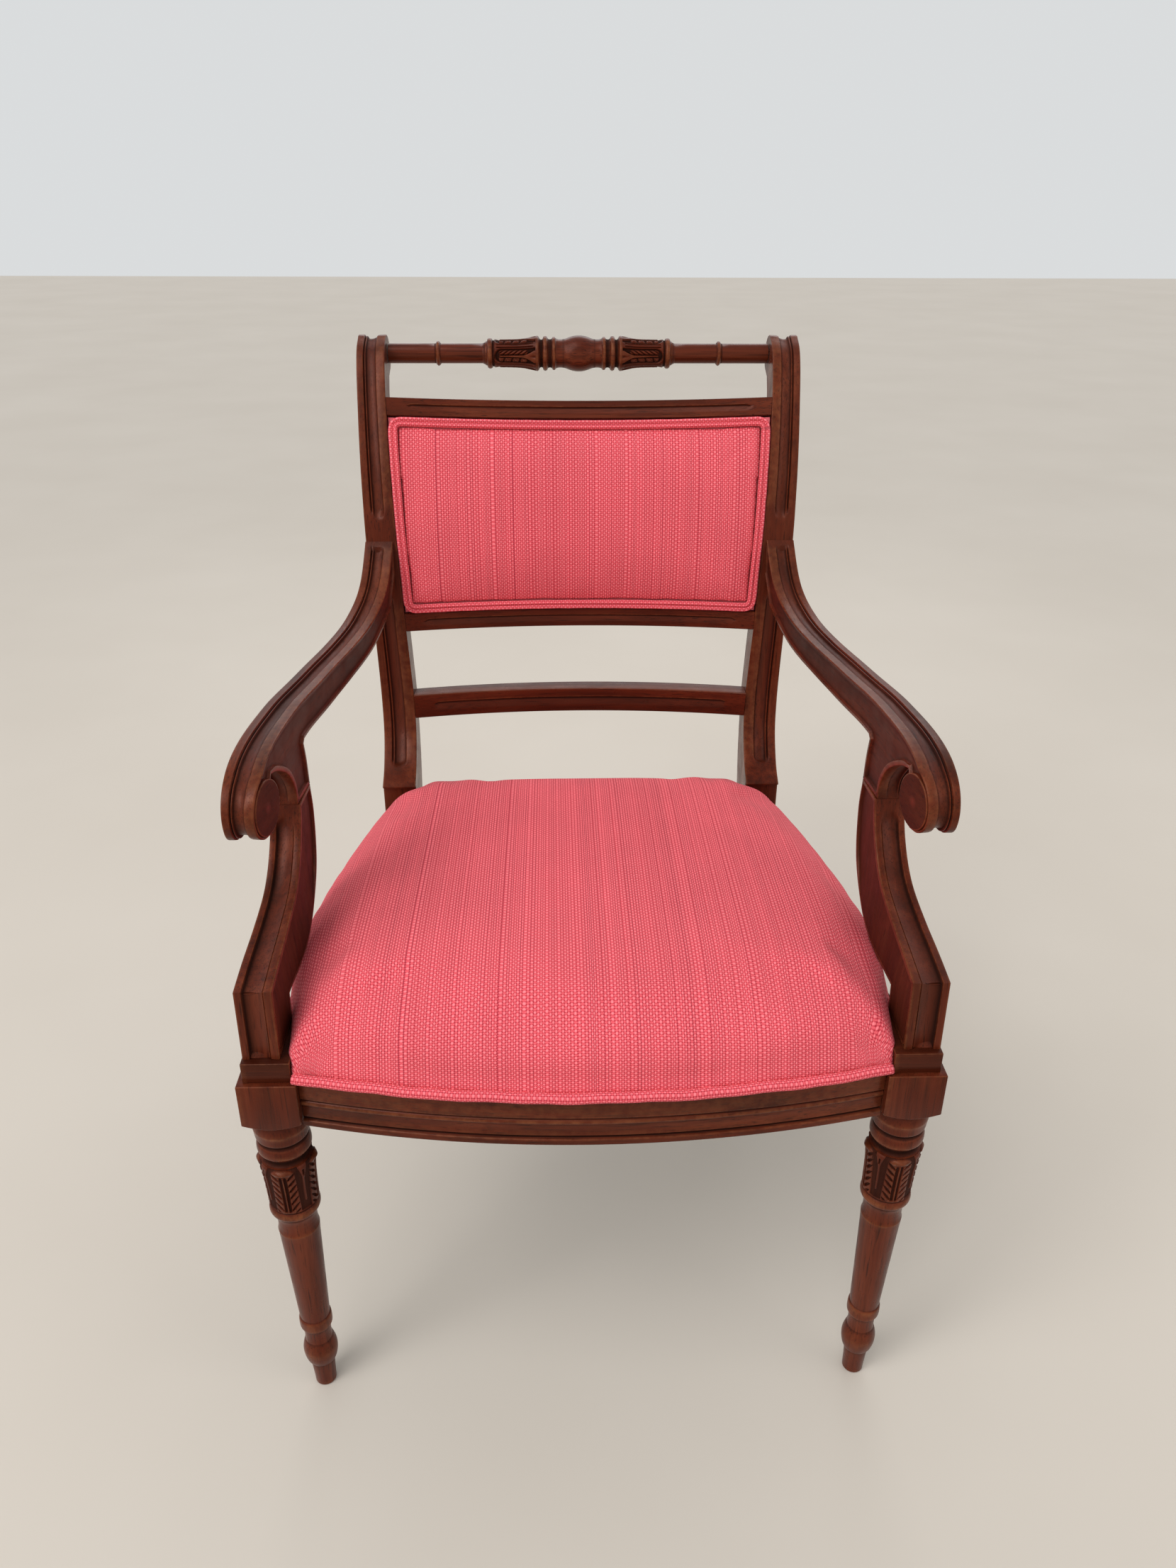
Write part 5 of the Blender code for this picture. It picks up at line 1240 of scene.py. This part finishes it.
def seat_outline(tucked=True):
    """The seat's plan: bowed front, wide over the plinths, drawn in between the stiles if tucked."""
    front = [(x, float(front_face(x)) + 0.0006) for x in np.linspace(0, 0.232, 12)]
    side = [(0.2418, -0.0215), (0.2462, -0.0175), (0.2484, -0.0080), (0.2492, 0.0100), (0.2500, 0.0330),
            (0.2515, 0.0520),
            (0.2540, 0.0800), (0.2553, 0.1150), (0.2536, 0.1550), (0.2461, 0.220), (0.2357, 0.290),
            (0.2269, 0.350), (0.2212, 0.384)]
    rear = [(0.2130, 0.4010), (0.1990, 0.4092), (0.1835, 0.4135), (0.1785, 0.4240), (0.1735, 0.4370),
            (0.1600, 0.4460),
            (0.08, 0.4495), (0.0, 0.4495)]
    if not tucked:
        rear = [(0.2150, 0.4100), (0.2010, 0.4350), (0.1780, 0.4460), (0.1400, 0.4495), (0.08, 0.4495),
                (0.0, 0.4495)]
    half = front + side + rear
    whole = half + [(-x, y) for x, y in reversed(half[1:-1])]
    return even(smooth_loop(whole), 0.006)[:-1]


def smooth_loop(points):
    points = np.array(points, float)
    curve = smooth(np.vstack([points[-2:], points, points[:3]]), 0.003)
    start = np.argmin(np.hypot(*(curve - points[0]).T)[: len(curve) // 4])
    end = len(curve) // 2 + np.argmin(np.hypot(*(curve - points[0]).T)[len(curve) // 2:])
    return np.vstack([curve[start:end], curve[start:start + 1]])


def soft_distance(outline, points):
    """Distance from the edge of a plan, rounded where two edges are equally near."""
    line = even(np.vstack([outline, outline[:1]]), 0.002)[:-1]
    total = np.zeros(len(points))
    for p in line:
        total += np.maximum(np.hypot(*(points - p).T), 0.0012) ** -5.0
    return (total * 0.002 * 0.75) ** -0.25


def crown(distance):
    """Height of the seat's top over its shoulder, by distance from its edge."""
    return np.interp(distance, [0.001, 0.004, 0.010, 0.020, 0.035, 0.060, 0.10, 0.14, 0.2],
                     [0, 0.0100, 0.0180, 0.0250, 0.0305, 0.0365, 0.0415, 0.0435, 0.0445])


def fullness(plan):
    """Share by which the sides of the cushion stand out over its foot."""
    return np.interp(plan[:, 1], [-0.03, 0.02, 0.06, 0.11, 0.20, 0.30, 0.36, 0.40],
                     [0, 0.010, 0.026, 0.032, 0.036, 0.032, 0.012, 0])


def seat_cover(cloth):
    """Fabric pulled over a crowned foam, blown up a little and drawn in at its foot."""
    outline = seat_outline()
    plan, triangles = filled(outline, 0.008)
    count = len(outline)
    inner = soft_distance(seat_outline(False), plan)
    shoulder = 0.4060 + 0.004 * np.clip((0.20 - plan[:, 1]) / 0.2, -0.6, 1)
    lift = 0.0110 * np.clip((np.abs(plan[:, 0]) - 0.14) / 0.09, 0,
                            1) ** 1.5 * ease((plan[:, 1] + 0.022) / 0.06)
    lift = lift * (1 - 0.75 * step_up(plan[:, 1], 0.385, 0.09))
    top = np.c_[plan[:, 0], FOOT_Y + plan[:, 1], shoulder + lift + crown(inner) * (1 - lift / 0.0445)]
    rows = [np.c_[outline[:, 0], FOOT_Y + outline[:, 1], np.full(count, SEAT_FOOT + k * 0.0065)]
            for k in range(3)]
    bottom = np.c_[plan[:, 0], FOOT_Y + plan[:, 1], np.full(len(plan), SEAT_FOOT)]
    rows[1][:, 0] *= 1 + 0.7 * fullness(outline)
    rows[2][:, 0] *= 1 + 0.95 * fullness(outline)
    top[:, 0] *= 1 + fullness(plan) * (np.abs(plan[:, 0]) / 0.25) ** 3
    points = np.vstack([top, bottom] + rows[1:])
    faces = [tuple(t) for t in triangles] + [tuple(len(plan) + i for i in t[::-1]) for t in triangles]
    chain = [np.arange(count), 2 * len(plan) + count + np.arange(count), 2 * len(plan) + np.arange(count),
             len(plan) + np.arange(count)]
    for upper, lower in zip(chain, chain[1:]):
        faces += [(int(upper[i]), int(lower[i]), int(lower[(i + 1) % count]),
                   int(upper[(i + 1) % count])) for i in range(count)]
    obj = cloth_object("seat_upholstery", points, faces, cloth)
    applied(obj, "REMESH", mode="VOXEL", voxel_size=0.0051, use_smooth_shade=True)
    points = coordinates(obj.data)
    free = np.clip((points[:, 2] - SEAT_FOOT - 0.004) / 0.014, 0, 1)
    relaxed(obj, 6, free)
    points = coordinates(obj.data)
    simulated(obj, points[:, 2] < SEAT_FOOT + 0.007, 0.006)
    relaxed(obj, 3, np.clip((coordinates(obj.data)[:, 2] - SEAT_FOOT - 0.004) / 0.02, 0, 1))
    applied(obj, "SUBSURF", levels=1, render_levels=1)
    points = tucked_in(coordinates(obj.data))
    points[:, 2] = np.minimum(np.maximum(points[:, 2], SEAT_FOOT - 0.0006), 0.4560)
    obj.data.vertices.foreach_set("co", points.astype(np.float32).ravel())
    set_weave(obj, wrapped(points, 0.4350, 0.028))
    finish_cloth(obj, cloth)
    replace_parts(obj, "seat_cover", "seat_foam")
    return obj


def tucked_in(points):
    """The cover pressed against the plinths and the feet of the arm supports."""
    x, y, z = points[:, 0], points[:, 1] - FOOT_Y, points[:, 2]
    plinth = band(y, -0.0300, 0.0420, 0.006) * (1 - step_up(z, 0.4040, 0.005))
    foot = band(y, -0.0300, 0.0440, 0.006)
    under = np.interp(y, [0.0, 0.044, 0.0785, 0.119, 0.146, 0.168],
                      [0.38, 0.4275, 0.4270, 0.4330, 0.4500, 0.4780])
    beside = band(y, -0.0300, 0.1700, 0.006) * step_up(z, under - 0.0030, 0.004)
    inner = np.interp(y, [0.02, 0.06, 0.10, 0.135], [0.2489, 0.2484, 0.2465, 0.2462])
    limit = 0.2720 - (0.2720 - inner) * np.maximum(foot, beside)
    limit = limit - (limit - 0.2411) * plinth
    pressed = points.copy()
    pressed[:, 0] = np.clip(x, -limit, limit)
    return pressed


def wrapped(points, brim, radius):
    """Weave coordinates that run over the top and on down the sides."""
    drop = np.maximum(0.0, brim - points[:, 2])
    turn = np.arccos(np.clip(1 - drop / radius, 0, 1))
    extra = np.where(drop < radius, radius * (turn - np.sin(turn)), radius * (pi / 2 - 1) + drop - radius)
    x, y = points[:, 0], points[:, 1] - FOOT_Y
    side = np.abs(x) / 0.235
    front = np.abs(y - 0.19) / 0.225
    share = step_up(side - front, 0.02, 0.12)
    return np.c_[x + np.sign(x) * extra * share, y + np.sign(y - 0.19) * extra * (1 - share), 0 * x]


def finish_cloth(obj, material):
    obj.data.materials.clear()
    obj.data.materials.append(material)
    obj.data.shade_smooth()


def cord_around(name, path, normals, radius, material, closed, lobes=1, flat=1.0, seed=1.0):
    """Piping along a path: one or two cords side by side, with the small dents of its gathered cover.

    normals are unit vectors out of the surface; the cords lie side by side across the path.
    """
    path = np.array(path, float)
    if closed:
        along = np.roll(path, -1, 0) - np.roll(path, 1, 0)
        steps = np.linalg.norm(np.roll(path, -1, 0) - path, axis=1)
        lengths = np.r_[0, np.cumsum(steps)[:-1]]
    else:
        along = np.gradient(path, axis=0)
        lengths = np.r_[0, np.cumsum(np.linalg.norm(np.diff(path, axis=0), axis=1))]
    along /= np.linalg.norm(along, axis=1)[:, None]
    across = np.cross(along, normals)
    across /= np.linalg.norm(across, axis=1)[:, None]
    up = np.cross(across, along)
    section = []
    if lobes == 1:
        section = [(radius * cos(t), radius * sin(t) * flat) for t in np.linspace(0, 2 * pi, 20,
                                                                                  endpoint=False)]
    else:
        for t in np.linspace(-25, 155, 11):
            section.append((radius + radius * cos(radians(t)), radius * sin(radians(t)) * flat))
        for t in np.linspace(25, 205, 11):
            section.append((-radius + radius * cos(radians(t)), radius * sin(radians(t)) * flat))
        section += [(-radius, -radius * 0.75), (radius, -radius * 0.75)]
    section = np.array(section)
    ripple = 1 + 0.018 * np.sin(lengths / 0.0031 + seed) * np.sin(lengths / 0.0113 + 2
                                                                  * seed) + 0.012 * np.sin(lengths / 0.0057)
    points = path[:, None] + (across[:, None] * section[None, :, 0:1] + up[:, None] * section[None, :,
            1:2]) * ripple[:, None, None]
    girth = np.r_[0, np.cumsum(np.linalg.norm(np.diff(section, axis=0), axis=1))]
    u = np.broadcast_to(girth[None], points.shape[:2])
    v = np.broadcast_to(lengths[:, None], points.shape[:2])
    weave = np.stack([u + 0.3, v, 0 * u], -1).reshape(-1, 3)
    faces = strip_faces(len(path), len(section), loop=closed)
    if not closed:
        faces += [tuple(range(len(section))), tuple(range((len(path) - 1) * len(section),
                                                          len(path) * len(section)))]
    return cloth_object(name, points.reshape(-1, 3), faces, material, weave)


def seat_welt(cloth):
    xs = np.linspace(-0.2403, 0.2403, 150)
    path = np.c_[xs, FOOT_Y + front_face(xs) - 0.0022, np.full(150, 0.3835 + 0.0047)]
    path[:, 2] += 0.0004 * np.sin(xs * 61) + 0.0003 * np.sin(xs * 143 + 1)
    normals = np.tile((0, -0.4, 0.92), (150, 1))
    obj = cord_around("seat_welt_cord", path, normals, 0.0045, cloth, False)
    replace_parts(obj, "seat_welt")


def stile_rake(height):
    return np.arctan((stile_front(height + 0.01) - stile_front(height - 0.01)) / 0.02)


def back_point(across, height, back):
    """Points of the curved back: share of the half width, height on the stiles, depth."""
    rake = stile_rake(height)
    back = back + BACK_BOW * (1 - across**2)
    return np.stack([across * stile_inner(height), FOOT_Y + stile_front(height) + back * np.cos(rake),
                     height - back * np.sin(rake)], -1)


PAD = (0.6045, 0.8068, 0.0120)


def back_pad(cloth):
    """Crowned fabric between the welts."""
    low, high, border = PAD[0] + PAD[2] - 0.003, PAD[1] - PAD[2] + 0.003, PAD[2] - 0.003
    rows, columns = 41, 73
    s = np.linspace(-1, 1, columns)
    t = np.linspace(-1, 1, rows)
    s, t = np.meshgrid(np.sign(s) * np.abs(s) ** 0.8, np.sign(t) * np.abs(t) ** 0.8)
    height = (low + high) / 2 + t * (high - low) / 2
    across = s * (1 - border / stile_inner(height))
    swell = 0.0100 * (1 - np.abs(s) ** 3.2) ** 0.55 * (1 - np.abs(t) ** 2.6) ** 0.6
    front = back_point(across, height, -0.0010 - swell).reshape(-1, 3)
    rear = back_point(across, height, 0.0038 + 0 * swell).reshape(-1, 3)
    index = np.arange(rows * columns).reshape(rows, columns)
    faces = []
    for j in range(rows - 1):
        for i in range(columns - 1):
            quad = (index[j, i], index[j, i + 1], index[j + 1, i + 1], index[j + 1, i])
            faces.append(tuple(int(q) for q in quad))
            faces.append(tuple(int(q) + rows * columns for q in quad[::-1]))
    rim = np.r_[index[0, :-1], index[:-1, -1], index[-1, :0:-1], index[:0:-1, 0]]
    for p, q in zip(rim, np.roll(rim, -1)):
        faces.append((int(p), int(q), int(q) + rows * columns, int(p) + rows * columns))
    obj = cloth_object("back_upholstery", np.vstack([front, rear]), faces, cloth)
    applied(obj, "REMESH", mode="VOXEL", voxel_size=0.0035, use_smooth_shade=True)
    points = coordinates(obj.data)
    depth = pad_depth(points)
    free = np.clip((0.0015 - depth) / 0.003, 0, 1)
    relaxed(obj, 8, free)
    simulated(obj, pad_depth(coordinates(obj.data)) > 0.0005, 0.0035)
    relaxed(obj, 2, free)
    applied(obj, "SUBSURF", levels=1, render_levels=1)
    points = coordinates(obj.data)
    set_weave(obj, np.c_[points[:, 0] + 0.7, points[:, 2] * 1.035, 0 * points[:, 0]])
    finish_cloth(obj, cloth)
    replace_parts(obj, "back_cover", "back_foam")


def pad_depth(points):
    """How far points lie behind the front of the curved back, along its lean."""
    height = points[:, 2]
    for _ in range(4):
        rake = stile_rake(height)
        half = stile_inner(height)
        back = (points[:, 1] - FOOT_Y - stile_front(height)) / np.cos(rake)
        height = points[:, 2] + back * np.sin(rake)
    return back - BACK_BOW * (1 - (points[:, 0] / half) ** 2)


def back_welt(cloth):
    """Double piping round the pad."""
    reach, corner = 0.0048, 0.0062
    low, high = PAD[0] + reach + 0.0003, PAD[1] - reach - 0.0003
    path, sides = [], []
    for x_side, z_side, start in ((1, 1, 0), (-1, 1, 90), (-1, -1, 180), (1, -1, 270)):
        for a in np.linspace(0, 90, 9):
            angle = radians(start + a)
            z = (high if z_side > 0 else low) - z_side * corner + corner * sin(angle)
            x = x_side * (float(stile_inner(z)) - reach - 0.0006 - corner) + corner * cos(angle)
            path.append((x, z))
    path = even(np.vstack([path, path[:1]]), 0.0026)[:-1]
    for _ in range(3):
        path = (np.roll(path, 1, 0) + 2 * path + np.roll(path, -1, 0)) / 4
    middle = back_point(path[:, 0] / stile_inner(path[:, 1]), path[:, 1], np.full(len(path), -0.0012))
    above = back_point(path[:, 0] / stile_inner(path[:, 1]), path[:, 1], np.full(len(path), -0.0022))
    normals = (above - middle) / 0.001
    obj = cord_around("back_double_welt", middle, normals, 0.0024, cloth, True, lobes=2, flat=1.35, seed=2.0)
    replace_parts(obj, "back_welt")


def panel_sheet(name, rows, thickness, material, weave, normal):
    """A thin closed sheet from a grid of points, thickened along a direction."""
    points = np.asarray(rows, float)
    j, i = points.shape[:2]
    flat = points.reshape(-1, 3)
    index = np.arange(j * i).reshape(j, i)
    faces = []
    for a in range(j - 1):
        for b in range(i - 1):
            quad = [int(q) for q in (index[a, b], index[a, b + 1], index[a + 1, b + 1], index[a + 1, b])]
            faces += [tuple(quad), tuple(q + j * i for q in quad[::-1])]
    rim = np.r_[index[0, :-1], index[:-1, -1], index[-1, :0:-1], index[:0:-1, 0]]
    faces += [(int(p), int(q), int(q) + j * i, int(p) + j * i) for p, q in zip(rim, np.roll(rim, -1))]
    vertices = np.vstack([flat, flat + np.asarray(normal).reshape(-1, 3) * thickness])
    weave = np.asarray(weave, float).reshape(-1, 2)
    weave = np.c_[weave, np.zeros(len(weave))]
    return cloth_object(name, vertices, faces, material, np.vstack([weave, weave]), sharp=40)


def outside_back(cloth):
    """Fabric stretched over the rear of the back panel, its edges turned in."""
    low, high = PAD[0] + 0.0004 - 0.012, PAD[1] - 0.0004 + 0.012
    s, t = np.meshgrid(np.linspace(-1, 1, 91), np.linspace(-1, 1, 61))
    height = (low + high) / 2 + t * (high - low) / 2
    across = s * (1 - 0.0011 / stile_inner(height))
    swell = 0.0016 * (1 - np.abs(s) ** 8) * (1 - np.abs(t) ** 8)
    slack = 0.0004 * np.sin(s * 7 + t * 2) * (1 - s**2) * (1 - t**2)
    points = back_point(across, height, 0.0240 + swell + slack)
    inner = back_point(across, height, 0.0230 + swell + slack)
    weave = np.stack([across * stile_inner(height) + 1.3, height], -1)
    obj = panel_sheet("outside_back_cloth", points, 0.9, cloth, weave, inner - points)
    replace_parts(obj, "outside_back")


def dust_cover(cloth):
    """Thin black cloth tacked under the rails, sagging slightly between them."""
    half = [(0.0, -0.0415), (0.12, -0.0335), (0.2245, -0.014), (0.2297, 0.0337), (0.2613, 0.0397),
            (0.2138, 0.4117),
            (0.1807, 0.4137), (0.1807, 0.4477)]
    whole = np.array(half + [(-x, y) for x, y in reversed(half[1:])])
    outline = even(np.vstack([whole, whole[:1]]), 0.012)[:-1]
    plan, triangles = filled(outline, 0.014)
    away = distance_to(outline, plan)
    z = 0.3353 - 0.0030 * ease((away - 0.02) / 0.12) - 0.0003 * np.sin(plan[:, 0] * 90) * ease(away / 0.02)
    count, edge = len(plan), len(outline)
    low = np.c_[plan[:, 0], FOOT_Y + plan[:, 1], z]
    high = low + (0, 0, 0.0004)
    faces = [tuple(t) for t in triangles] + [tuple(count + i for i in t[::-1]) for t in triangles]
    faces += [(i, (i + 1) % edge, count + (i + 1) % edge, count + i) for i in range(edge)]
    obj = cloth_object("dust_cover_cloth", np.vstack([low, high]), faces, cloth, sharp=40)
    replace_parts(obj, "dust_cover")


def carry_over(materials):
    """Materials for the solids that are shown as they are."""
    kinds = (("webbing", "webbing"), ("corner", "plain"), ("block_screw", "steel"), ("arm_screw", "steel"),
             ("arm_plug", "wood_y"),
             ("arm_dowel", "plain"), ("foot_dowel", "plain"), ("back_panel", "cloth"), ("seat_foam", "foam"),
             ("back_foam", "foam"),
             ("dust", "dust"), ("rear_seat", "wood_x"), ("side_seat", "wood_y"))
    for name, obj in NODES.items():
        key = next((v for k, v in kinds if name.startswith(k)), "wood_z")
        obj.data.materials.clear()
        obj.data.materials.append(materials[key])


def main():
    look()
    studio()
    materials = {
        "wood_x": wood_material("mahogany_x", "x"), "wood_y": wood_material("mahogany_y", "y"),
        "wood_z": wood_material("mahogany_z", "z"),
        # A darker copy of the mahogany for the plinths: painted shade.
        "wood_shaded": wood_material("mahogany_shaded", "x", 0.55),
        "plain": plain_wood_material(), "cloth": cloth_material(), "foam": foam_material(),
        "steel": steel_material(),
        "webbing": woven_material("jute", (0.30, 0.21, 0.11), (0.50, 0.40, 0.25), 700),
        "dust": woven_material("black_cloth", (0.010, 0.010, 0.012), (0.035, 0.035, 0.038), 1400),
    }
    carry_over(materials)
    for side_name, side in SIDES.items():
        stile(side_name, side, materials["wood_z"])
        arm(side_name, side, materials["wood_y"])
        support(side_name, side, materials["wood_z"])
        front_leg(side_name, side, materials["wood_z"], materials["wood_shaded"])
        softened(f"side_seat_rail_{side_name}", f"side_rail_wood_{side_name}", materials["wood_y"])
    crest_rail(materials["wood_x"])
    back_rails(materials["wood_x"])
    front_rail(materials["wood_x"])
    softened("rear_seat_rail", "rear_rail_wood", materials["wood_x"])
    seat_cover(materials["cloth"])
    seat_welt(materials["cloth"])
    back_pad(materials["cloth"])
    back_welt(materials["cloth"])
    outside_back(materials["cloth"])
    dust_cover(materials["dust"])


main()
